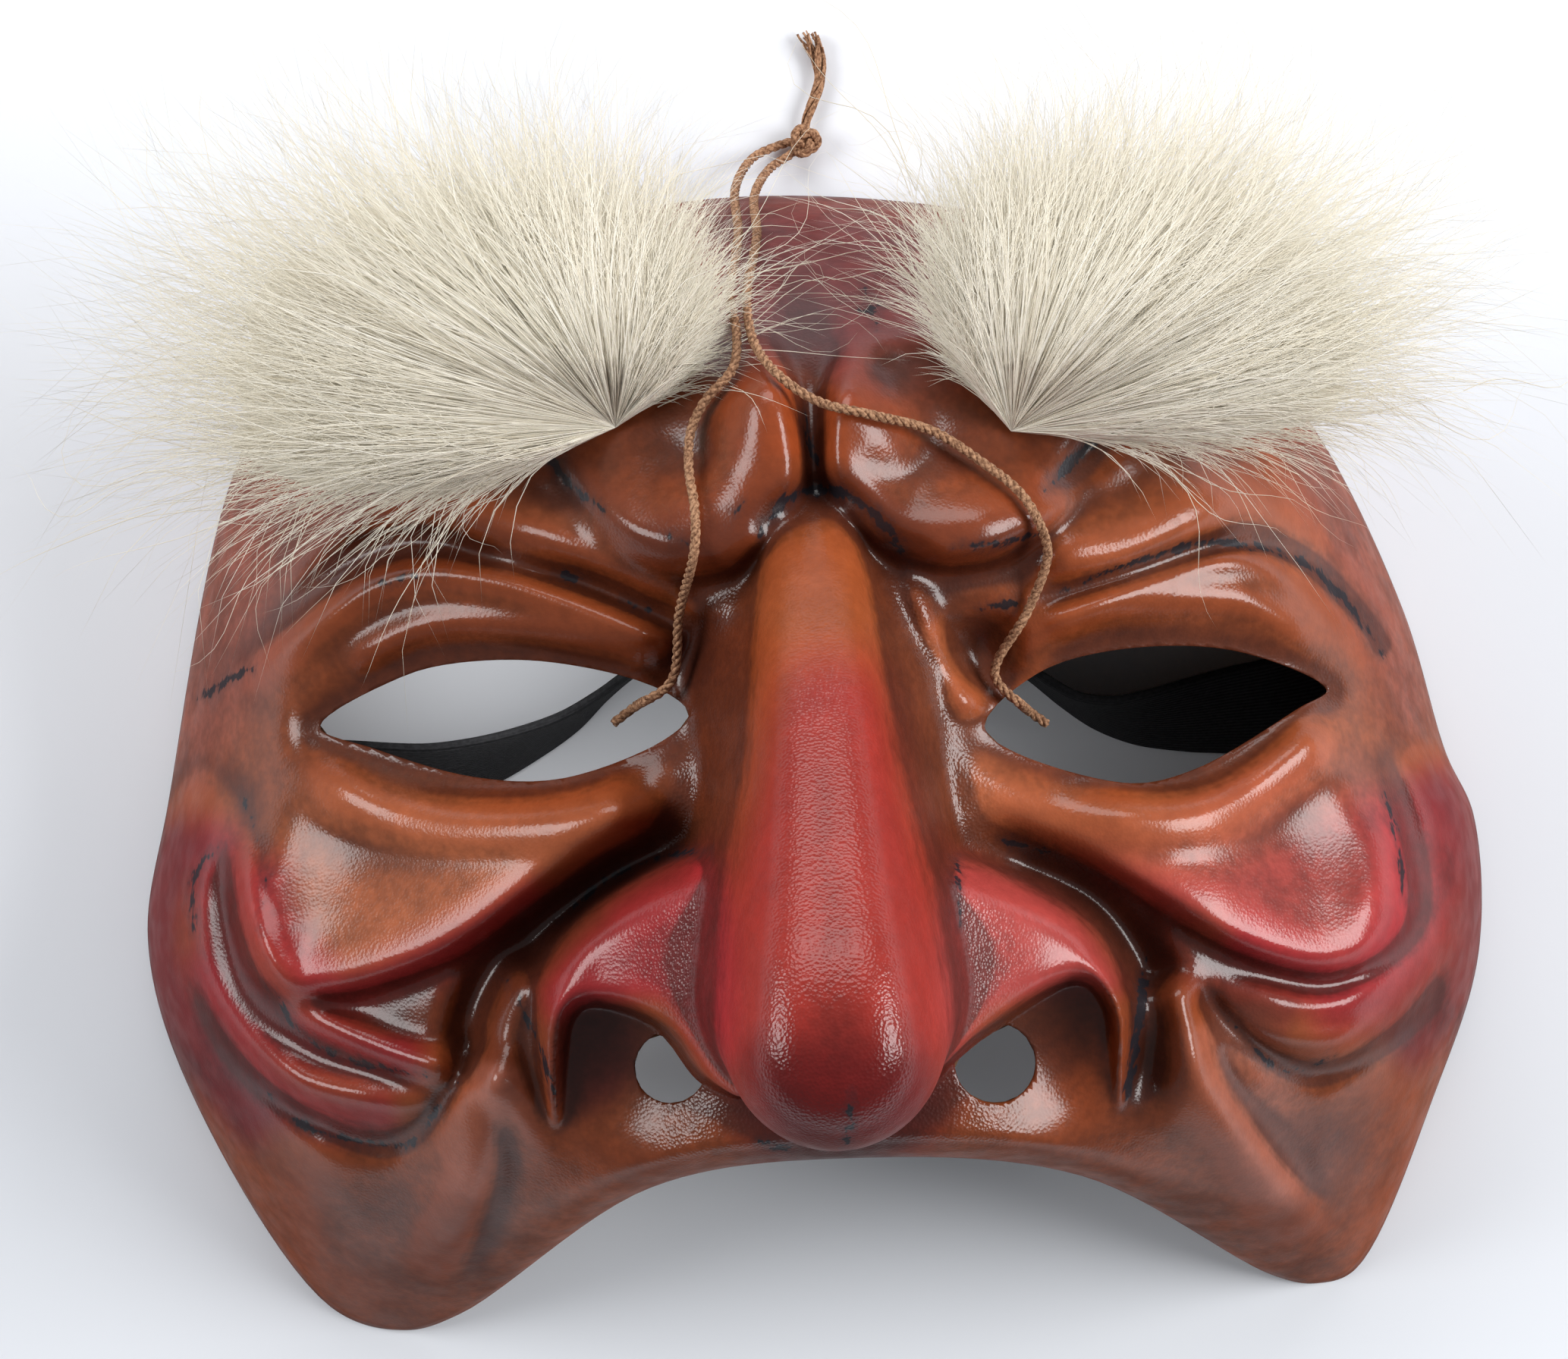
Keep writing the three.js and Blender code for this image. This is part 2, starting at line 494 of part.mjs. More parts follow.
function inside(across, up, depth) {
  const wall = wallAt(across, up);
  const top = Math.max(lining.at(across, up), wall.height + 0.6);
  return wall.height + (top - wall.height) * quarterRound((depth - LEATHER) / (wall.width - LEATHER));
}

// How far a place is inside a hole, negative outside it
function intoHole(across, up) {
  let most = -Infinity;
  for (const { side, line } of eyes) {
    most = Math.max(most, nearest(line, across * side, up, true).distance);
  }
  for (const { side, out, up: middle, radius } of NOSTRILS) {
    const round = radius - Math.hypot(across * side - out, up - middle);
    const wing = wings.find((each) => each.side === side);
    const clear = -nearest(wing.line, across * side, up, true).distance - 1;
    most = Math.max(most, Math.min(round, clear));
  }
  return most;
}

// Evenly spaced places along the rim from one corner to another
function rimSide(from, to, count) {
  const steps = rim.length / RIM.length;
  const line = [];
  for (let i = from * steps; i !== (to * steps) % rim.length; i = (i + 1) % rim.length) line.push(rim[i]);
  line.push(rim[to * steps]);
  const lengths = [0];
  for (let i = 1; i < line.length; i += 1) {
    lengths.push(lengths[i - 1] + Math.hypot(line[i][0] - line[i - 1][0], line[i][1] - line[i - 1][1]));
  }
  const places = [];
  let i = 0;
  for (let k = 0; k <= count; k += 1) {
    const goal = (lengths[lengths.length - 1] * k) / count;
    while (i < line.length - 2 && lengths[i + 1] < goal) i += 1;
    const t = clamp((goal - lengths[i]) / (lengths[i + 1] - lengths[i]));
    places.push([mix(line[i][0], line[i + 1][0], t), mix(line[i][1], line[i + 1][1], t)]);
  }
  return places;
}

// A grid of places that fills the rim, drawn together where the relief is steep
function facePlaces() {
  const bottom = rimSide(CORNERS.leftJowl, CORNERS.rightJowl, FACETS_ACROSS);
  const right = rimSide(CORNERS.rightJowl, CORNERS.rightTemple, FACETS_ALONG);
  const top = rimSide(CORNERS.rightTemple, CORNERS.leftTemple, FACETS_ACROSS).reverse();
  const left = rimSide(CORNERS.leftTemple, CORNERS.leftJowl, FACETS_ALONG).reverse();
  const grid = [];
  for (let i = 0; i <= FACETS_ACROSS; i += 1) {
    const u = i / FACETS_ACROSS;
    const row = [];
    for (let j = 0; j <= FACETS_ALONG; j += 1) {
      const v = j / FACETS_ALONG;
      row.push([0, 1].map((c) => {
        const corners = mix(mix(bottom[0][c], bottom[FACETS_ACROSS][c], u),
          mix(top[0][c], top[FACETS_ACROSS][c], u), v);
        return mix(bottom[i][c], top[i][c], v) + mix(left[j][c], right[j][c], u) - corners;
      }));
    }
    grid.push(row);
  }
  for (let round = 0; round < RELAX_ROUNDS; round += 1) {
    const heights = grid.map((row) => row.map(([x, y]) => {
      const depth = nearest(rimCoarse, x, y, true).distance;
      return outside(x, y, depth);
    }));
    const next = grid.map((row) => row.slice());
    for (let i = 1; i < FACETS_ACROSS; i += 1) {
      for (let j = 1; j < FACETS_ALONG; j += 1) {
        let [x, y, weight] = [0, 0, 0];
        for (const [p, q] of [[i - 1, j], [i + 1, j], [i, j - 1], [i, j + 1]]) {
          const flat = Math.hypot(grid[p][q][0] - grid[i][j][0], grid[p][q][1] - grid[i][j][1]);
          const rise = heights[p][q] - heights[i][j];
          const stretch = Math.min(4, Math.hypot(flat, rise) / Math.max(flat, 0.2));
          x += grid[p][q][0] * stretch;
          y += grid[p][q][1] * stretch;
          weight += stretch;
        }
        next[i][j] = [mix(grid[i][j][0], x / weight, RELAX_SHARE),
          mix(grid[i][j][1], y / weight, RELAX_SHARE)];
      }
    }
    next.forEach((row, i) => { grid[i] = row; });
  }
  return grid;
}

// Triangles over the grid of places, with the holes cut out of them
function faceTriangles(grid) {
  const places = grid.flat().map((point) => point.slice());
  const columns = FACETS_ALONG + 1;
  const depths = places.map(([x, y]) => intoHole(x, y));
  const slope = (x, y) => [
    (intoHole(x + PROBE, y) - intoHole(x - PROBE, y)) / (2 * PROBE),
    (intoHole(x, y + PROBE) - intoHole(x, y - PROBE)) / (2 * PROBE),
  ];
  const ontoEdge = (point) => {
    let [x, y] = point;
    for (let k = 0; k < 6; k += 1) {
      const depth = intoHole(x, y);
      const [gx, gy] = slope(x, y);
      const square = Math.max(gx * gx + gy * gy, 0.05);
      x -= (0.8 * depth * gx) / square;
      y -= (0.8 * depth * gy) / square;
    }
    return [x, y];
  };
  places.forEach((point, k) => {
    if (Math.abs(depths[k]) < HOLE_SNAP) {
      places[k] = ontoEdge(point);
      depths[k] = 0;
    }
  });
  const triangles = [];
  const cuts = new Map();
  const cut = (a, b) => {
    const key = a < b ? `${a}_${b}` : `${b}_${a}`;
    if (!cuts.has(key)) {
      const t = depths[a] / (depths[a] - depths[b]);
      places.push(ontoEdge([mix(places[a][0], places[b][0], t), mix(places[a][1], places[b][1], t)]));
      depths.push(0);
      cuts.set(key, places.length - 1);
    }
    return cuts.get(key);
  };
  const keep = (corners) => {
    const shape = [];
    corners.forEach((a, k) => {
      const b = corners[(k + 1) % 3];
      if (depths[a] <= 0) shape.push(a);
      if ((depths[a] < 0 && depths[b] > 0) || (depths[a] > 0 && depths[b] < 0)) shape.push(cut(a, b));
    });
    if (!corners.some((a) => depths[a] < 0)) return;
    for (let k = 2; k < shape.length; k += 1) triangles.push([shape[0], shape[k - 1], shape[k]]);
  };
  const heights = grid.flat().map(([x, y]) => face.at(x, y));
  const misses = (a, b) => {
    const height = face.at((places[a][0] + places[b][0]) / 2, (places[a][1] + places[b][1]) / 2);
    return Math.abs((heights[a] + heights[b]) / 2 - height);
  };
  for (let i = 0; i < FACETS_ACROSS; i += 1) {
    for (let j = 0; j < FACETS_ALONG; j += 1) {
      const a = i * columns + j;
      const [b, c, d] = [a + columns, a + columns + 1, a + 1];
      if (misses(a, c) < misses(b, d)) {
        keep([a, b, c]);
        keep([a, c, d]);
      } else {
        keep([a, b, d]);
        keep([b, c, d]);
      }
    }
  }
  return { places, triangles };
}

function meshFrom(points, triangles) {
  const used = new Map();
  const vertices = [];
  const index = triangles.flat().map((k) => {
    if (!used.has(k)) {
      used.set(k, vertices.length / 3);
      vertices.push(points[k].x, points[k].y, points[k].z);
    }
    return used.get(k);
  });
  const geometry = new THREE.BufferGeometry();
  geometry.setAttribute('position', new THREE.Float32BufferAttribute(vertices, 3));
  geometry.setIndex(index);
  geometry.computeVertexNormals();
  return geometry;
}

// Two skins with the same triangles become one closed solid
function closeSkins(upper, lower, triangles) {
  const count = upper.length;
  const all = triangles.map((corners) => corners.slice());
  triangles.forEach(([a, b, c]) => all.push([a + count, c + count, b + count]));
  const edges = new Set(triangles.flatMap(([a, b, c]) => [`${a}_${b}`, `${b}_${c}`, `${c}_${a}`]));
  for (const edge of edges) {
    const [a, b] = edge.split('_').map(Number);
    if (!edges.has(`${b}_${a}`)) {
      all.push([b, a, a + count]);
      all.push([b, a + count, b + count]);
    }
  }
  return meshFrom([...upper, ...lower], all);
}

// The moulded leather
function maskShell() {
  const { places, triangles } = faceTriangles(facePlaces());
  const upper = [];
  const lower = [];
  for (const [x, y] of places) {
    const depth = nearest(rim, x, y, true).distance;
    const onRim = Math.abs(depth) < 0.02;
    const gx = nearest(rim, x + PROBE, y, true).distance - nearest(rim, x - PROBE, y, true).distance;
    const gy = nearest(rim, x, y + PROBE, true).distance - nearest(rim, x, y - PROBE, true).distance;
    const length = Math.max(Math.hypot(gx, gy), 1e-6);
    const shift = LEATHER * Math.max(0, 1 - depth / (4 * LEATHER)) ** 2;
    const [u, v] = [x + (gx / length) * shift, y + (gy / length) * shift];
    const height = outside(x, y, onRim ? 0 : depth);
    upper.push(place(x, y, height));
    lower.push(place(u, v, onRim ? height : Math.min(inside(u, v, depth + shift), height)));
  }
  return closeSkins(upper, lower, triangles);
}

// A brow of fur: a fan of locks, thick in its middle and thin at its edge
function furBrow({ tip, reach }) {
  const first = reach[0][0];
  const span = reach[reach.length - 1][0] - first;
  const fan = curveThrough(reach, false);
  const upper = [];
  const lower = [];
  const triangles = [];
  for (let i = 0; i <= FUR_ACROSS; i += 1) {
    const angle = first + (span * i) / FUR_ACROSS;
    let k = 0;
    while (k < fan.length - 2 && fan[k + 1][0] < angle) k += 1;
    const full = mix(fan[k][1], fan[k + 1][1], clamp((angle - fan[k][0]) / (fan[k + 1][0] - fan[k][0])));
    const lock = Math.abs(Math.sin((Math.PI * FUR_LOCKS * i) / FUR_ACROSS + 0.6 * Math.sin(i)));
    for (let j = 0; j <= FUR_ALONG; j += 1) {
      const share = (j + 0.6) / (FUR_ALONG + 0.6);
      const far = full * share * (1 - 0.10 * (1 - lock) * share);
      const turned = THREE.MathUtils.degToRad(angle);
      const x = tip[0] + far * Math.cos(turned);
      const y = tip[1] + far * Math.sin(turned);
      const across = Math.sin(Math.PI * clamp(i / FUR_ACROSS)) ** 0.5;
      const depth = FUR_DEPTH * across * Math.sin(Math.PI * share ** 0.7) ** 0.6;
      const groove = FUR_LOCK_DEPTH * (1 - lock) * ease(share * 2) * across;
      const bed = furBed.at(x, y) + FUR_GAP;
      const root = furBed.at(...tip) + FUR_GAP;
      const bottom = Math.max(bed, root - FUR_SAG[1] * far ** 2);
      const top = Math.max(bed, root - FUR_SAG[0] * far ** 2);
      lower.push(place(x, y, mix(bottom, top, share ** 6)));
      upper.push(place(x, y, top + Math.max(1, depth - groove)));
      if (i < FUR_ACROSS && j < FUR_ALONG) {
        const a = i * (FUR_ALONG + 1) + j;
        const [b, c, d] = [a + 1, a + FUR_ALONG + 2, a + FUR_ALONG + 1];
        triangles.push([a, b, c], [a, c, d]);
      }
    }
  }
  return closeSkins(upper, lower, triangles);
}

// A bar of the given corner places, drawn along a line of frames
function sweep(sections) {
  const sides = sections[0].length;
  const points = sections.flat();
  const triangles = [];
  for (let i = 0; i < sections.length - 1; i += 1) {
    for (let k = 0; k < sides; k += 1) {
      const a = i * sides + k;
      const b = i * sides + ((k + 1) % sides);
      triangles.push([a, b, b + sides], [a, b + sides, a + sides]);
    }
  }
  const last = (sections.length - 1) * sides;
  for (let k = 2; k < sides; k += 1) {
    triangles.push([0, k, k - 1], [last, last + k - 1, last + k]);
  }
  return meshFrom(points, triangles);
}

function elasticStrap() {
  const line = curveThrough(STRAP, false, 2);
  const middles = line.map(([across, up, turn, lift]) => {
    const angle = THREE.MathUtils.degToRad(turn);
    const half = (STRAP_WIDTH * Math.abs(Math.sin(angle)) + STRAP_THICKNESS * Math.cos(angle)) / 2;
    return place(across, up, half + lift + STRAP_GAP);
  });
  const sections = line.map(([, , turn], i) => {
    const middle = middles[i];
    const run = middles[Math.min(i + 1, line.length - 1)].clone().sub(middles[Math.max(i - 1, 0)]);
    run.setZ(0).normalize();
    const flat = new THREE.Vector3(-run.y, run.x, 0);
    const broad = flat.applyAxisAngle(run, THREE.MathUtils.degToRad(turn));
    const thick = new THREE.Vector3().crossVectors(run, broad);
    return [[-1, -1], [1, -1], [1, 1], [-1, 1]].map(([p, q]) => middle.clone()
      .addScaledVector(broad, (p * STRAP_WIDTH) / 2)
      .addScaledVector(thick, (q * STRAP_THICKNESS) / 2));
  });
  return sweep(sections);
}

// Height of a cord's middle where it lies on the leather or on the table
function cordHeight(across, up) {
  const radius = CORD_DIAMETER / 2;
  let highest = 0;
  for (let k = 0; k < 12; k += 1) {
    const x = across + 2 * Math.cos((Math.PI * k) / 6);
    const y = up + 2 * Math.sin((Math.PI * k) / 6);
    const depth = nearest(rim, x, y, true).distance;
    if (depth > 0) highest = Math.max(highest, outside(x, y, depth));
  }
  return highest + radius + CORD_GAP - CORD_DIP * ease((intoHole(across, up) - 1.6) / 2);
}

function cordStrand(route) {
  const line = curveThrough(route, false, 3);
  const points = line.map(([across, up]) => place(across, up, cordHeight(across, up)));
  const path = new THREE.CatmullRomCurve3(points);
  const section = new THREE.Shape();
  section.absarc(0, 0, CORD_DIAMETER / 2, 0, 2 * Math.PI);
  return new THREE.ExtrudeGeometry(section, {
    curveSegments: 4, steps: Math.round(path.getLength() / (4 * CORD_DIAMETER)), extrudePath: path,
  });
}

function cordKnot() {
  const geometry = new THREE.SphereGeometry(KNOT_SIZE / 2, 12, 8);
  geometry.scale(1, 1.1, 0.9);
  const middle = place(KNOT[0], KNOT[1], KNOT_SIZE * 0.45 + CORD_GAP);
  geometry.translate(middle.x, middle.y, middle.z);
  return geometry;
}

const pieces = new THREE.Group();
function addPiece(name, geometry, material) {
  const mesh = new THREE.Mesh(geometry, material);
  mesh.name = name;
  pieces.add(mesh);
}

addPiece('mask_shell', maskShell(), LEATHER_FINISH);
FURS.forEach((fur) => addPiece(fur.name, furBrow(fur), FUR_FINISH.clone()));
addPiece('elastic_strap', elasticStrap(), ELASTIC_FINISH);

// The origin is under the middle of the mask, its fur and its strap, on the table
const box = new THREE.Box3().setFromObject(pieces);
addPiece('hanging_cord_left', cordStrand(CORD_LEFT), STRING_FINISH.clone());
addPiece('hanging_cord_right', cordStrand(CORD_RIGHT), STRING_FINISH.clone());
addPiece('cord_knot', cordKnot(), STRING_FINISH.clone());
pieces.position.set(-(box.min.x + box.max.x) / 2, -(box.min.y + box.max.y) / 2, 0);

export default pieces;
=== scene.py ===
"""A moulded leather half mask with fur brows, a string loop and an elastic strap, lying face up."""

import math

import bpy
import numpy as np
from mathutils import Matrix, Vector


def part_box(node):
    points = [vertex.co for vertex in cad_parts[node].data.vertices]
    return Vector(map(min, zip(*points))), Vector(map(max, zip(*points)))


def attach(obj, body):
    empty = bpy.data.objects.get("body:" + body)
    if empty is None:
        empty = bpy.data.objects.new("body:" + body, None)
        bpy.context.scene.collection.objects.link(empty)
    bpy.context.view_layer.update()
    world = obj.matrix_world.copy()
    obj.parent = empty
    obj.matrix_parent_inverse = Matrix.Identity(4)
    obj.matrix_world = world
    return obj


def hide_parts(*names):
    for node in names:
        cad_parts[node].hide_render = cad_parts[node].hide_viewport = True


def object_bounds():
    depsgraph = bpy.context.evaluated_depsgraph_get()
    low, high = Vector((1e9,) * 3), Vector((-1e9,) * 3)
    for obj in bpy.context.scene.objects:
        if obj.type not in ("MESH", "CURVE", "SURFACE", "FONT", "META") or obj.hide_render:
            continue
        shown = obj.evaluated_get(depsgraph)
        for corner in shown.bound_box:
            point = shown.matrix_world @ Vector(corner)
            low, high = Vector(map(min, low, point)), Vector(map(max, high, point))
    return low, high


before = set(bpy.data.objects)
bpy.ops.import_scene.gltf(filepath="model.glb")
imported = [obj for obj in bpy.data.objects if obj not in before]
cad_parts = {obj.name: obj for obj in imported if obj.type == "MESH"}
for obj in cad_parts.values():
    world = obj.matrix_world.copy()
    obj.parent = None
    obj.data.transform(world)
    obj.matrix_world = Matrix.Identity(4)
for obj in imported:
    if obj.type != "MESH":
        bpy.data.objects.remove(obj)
CAD_BOX = [list(corner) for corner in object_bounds()]

# Lengths are millimetres over the mask's picture plane until place() turns them into metres
MM = 0.001
LEATHER = 2.4
LEFT = -1
RIGHT = 1

# The bare face: its highest line, its roundness across, and how forehead and jowls fall away
FACE_TOP = 57
FACE_SPAN = 120
FOREHEAD_START = 34
FOREHEAD_CURVE = 0.020
JOWL_START = -42
JOWL_CURVE = 0.024
SOCKET_DEPTH = 2.6
SOCKET_WIDTH = 3.2

# The nose, how far it droops over the lip, and the wings beside it
NOSE_MIDDLE = -0.8
NOSE_TIP_START = -37
NOSE_TIP_LENGTH = 16
NOSE_TOP = 26
NOSE_BLEND = 3.5
NOSE_FULLNESS = 4
DROOP = 10
DROOP_START = 14
DROOP_LENGTH = 35
DROOP_RISE = 50
WING_RISE = 8
WING_RISE_AT_NOSE = 9

# The string: the solids' thickness, its own, how it lies, its knot and its frayed end
CORD_DIAMETER = 1.6
STRING_DIAMETER = 1.25
CORD_GAP = 0.5
CORD_DIP = 8
CORD_STEP = 0.5
CORD_PROBE = 1.2
CORD_SLACK = 0.003
CORD_ROUNDS = 60
CORD_OVER_FUR = 4.8
CORD_ON_FUR = (41, 62)
KNOT_SIZE = 4.2
KNOT_LOOP = 0.52
TAIL_DIAMETER = 1.7
TAIL_HEIGHT = 1.3

# The elastic strap
STRAP_WIDTH = 20
STRAP_THICKNESS = 1.2
STRAP_GAP = 0.4

# The fur: its gap over the leather, its depth, and how its top and underside sag away from the tip
FUR_GAP = 1.0
FUR_DEPTH = 13
FUR_SAG = (0.0014, 0.0036)

# Hairs in each of a fur's two coats, in locks, and the shares of them that lie loose or stray
HAIRS = 2800
LOCKS = 120
LOOSE_SHARE = 0.55
STRAY_SHARE = 0.16
LONGEST_HAIR = 1.18
WISPS = 70
HAIR_RINGS = 6
WISP_RINGS = 12

# How far hairs may reach past the frame's box, in metres
HAIR_REACH = 0.012

# Fineness of the relief and of the leather's meshes
RELIEF_STEP = 0.35
SOFTNESS = 0.5
OUTSIDE_FACETS = (50, 42, 6)
LINING_FACETS = (50, 42, 2)
RELAX_ROUNDS = 80
SMOOTH_ROUNDS = 10
PROBE = 0.05
WIDE_FOLD = 9

# How level the leather is where the wax starts, over what span it grows full, and what counts as steep
WAX_FROM = 0.38
WAX_OVER = 0.40
STEEP = 0.32

# Hairs and strings take their first direction across from this
NEARLY_UP = (0.02, 0.03, 1.0)

# The camera looks down on this place of the picture plane, turned by these degrees
VIEW_HEIGHT = 600
VIEW_PLACE = (-5.2, 0)
VIEW_TURN = -2.7
SENSOR_WIDTH = 36
LENS = 106.6

# Lamps, in metres: place, size, watts, what they are turned to
FACE_MIDDLE = (0, 0, 0.03)
LAMPS = {
    "left_softbox": ((-0.85, 0.22, 0.62), (0.6, 0.45), 6.5, FACE_MIDDLE),
    "right_softbox": ((0.85, 0.10, 0.62), (0.65, 0.5), 10.5, FACE_MIDDLE),
    "top_softbox": ((0.0, 1.25, 0.8), (1.3, 0.7), 11, FACE_MIDDLE),
    "glow_left_eye": ((-0.040, 0.006, 0.036), (0.040, 0.012), 0.010, (-0.042, 0.006, 0)),
}
SKY = (0.93, 0.96, 1, 1)
SKY_STRENGTH = 0.21
FLOOR_SIZE = 3

# The rim, going round from the left temple: across, up, height over the table, width of the side wall
RIM = [
    (-74.8, 30.4, 0, 20), (-85.4, -12, 0, 17), (-88.9, -30, 0, 16), (-84.4, -49.3, 0, 15),
    (-67.5, -78.3, 0, 12), (-58.2, -81.7, 1, 11), (-51, -80, 5, 9), (-25.5, -64.8, 37, 4),
    (0, -62.2, 47, 4), (30.2, -65.9, 34, 4), (54.5, -80, 3, 8), (60, -81.2, 0, 10),
    (65, -79.6, 0, 12), (76.5, -56.9, 0, 15), (82.8, -39.5, 0, 16), (83, -21.7, 0, 16),
    (79.8, -13.5, 0, 16), (75.2, 5, 0, 18), (66, 27, 0, 20), (57, 40, 0, 22), (44, 51, 0, 25),
    (28, 58, 0, 27), (-12, 62.5, 0, 27), (-52, 54, 0, 24), (-66, 43.5, 0, 22),
]
LEFT_JOWL, RIGHT_JOWL, RIGHT_TEMPLE, LEFT_TEMPLE = 5, 11, 19, 24

# Eye holes: out from the middle, up
EYES = {
    LEFT: [(65.4, -3.3), (54.4, 2.7), (47.4, 4.1), (35.5, 3.7), (21.5, -0.4), (17.7, -3.9),
           (20.6, -6.8), (34.3, -11.4), (45.8, -10.7), (58.6, -6.4)],
    RIGHT: [(20.4, -7.6), (27.3, -0.9), (37.9, 1.8), (53.4, 0.9), (64.8, -4.7), (61.3, -6.7),
            (47.2, -14.1), (38, -15.4)],
}

# Nostril holes: out, up, radius
NOSTRILS = {LEFT: (22.2, -49.4, 4.6), RIGHT: (19.7, -50.8, 5.2)}

# The nose from its root down: place, half width, height of its ridge, height of its flanks, their slope
NOSE = [
    (26, 4.5, 55, 48, 1.2), (12, 7.3, 73, 61, 1.5), (-6, 9.6, 93, 70, 2.6),
    (-26, 13.7, 108, 81, 7), (-46, 15.2, 111, 89, 8), (-60, 14.5, 106, 90, 8),
]

# The wings of the nostrils: out, up, width of the rounded edge
WINGS = {
    LEFT: [(11, -19, 6), (15, -20.3, 3), (33.9, -29.6, 5), (39.2, -39, 5), (37.3, -56.5, 2.5),
           (35, -42.6, 2), (32.4, -40.6, 1.8), (23.3, -43.7, 1.8), (17.6, -51, 1.8), (12, -53, 2),
           (6, -40, 6)],
    RIGHT: [(9, -21, 6), (15.7, -23.2, 3), (33.5, -34.1, 5), (37.1, -44, 5), (35.2, -58, 2.5),
            (34.8, -44.5, 2), (31.2, -40.6, 1.8), (18.8, -46.2, 1.8), (9, -52, 2), (6, -40, 6)],
}

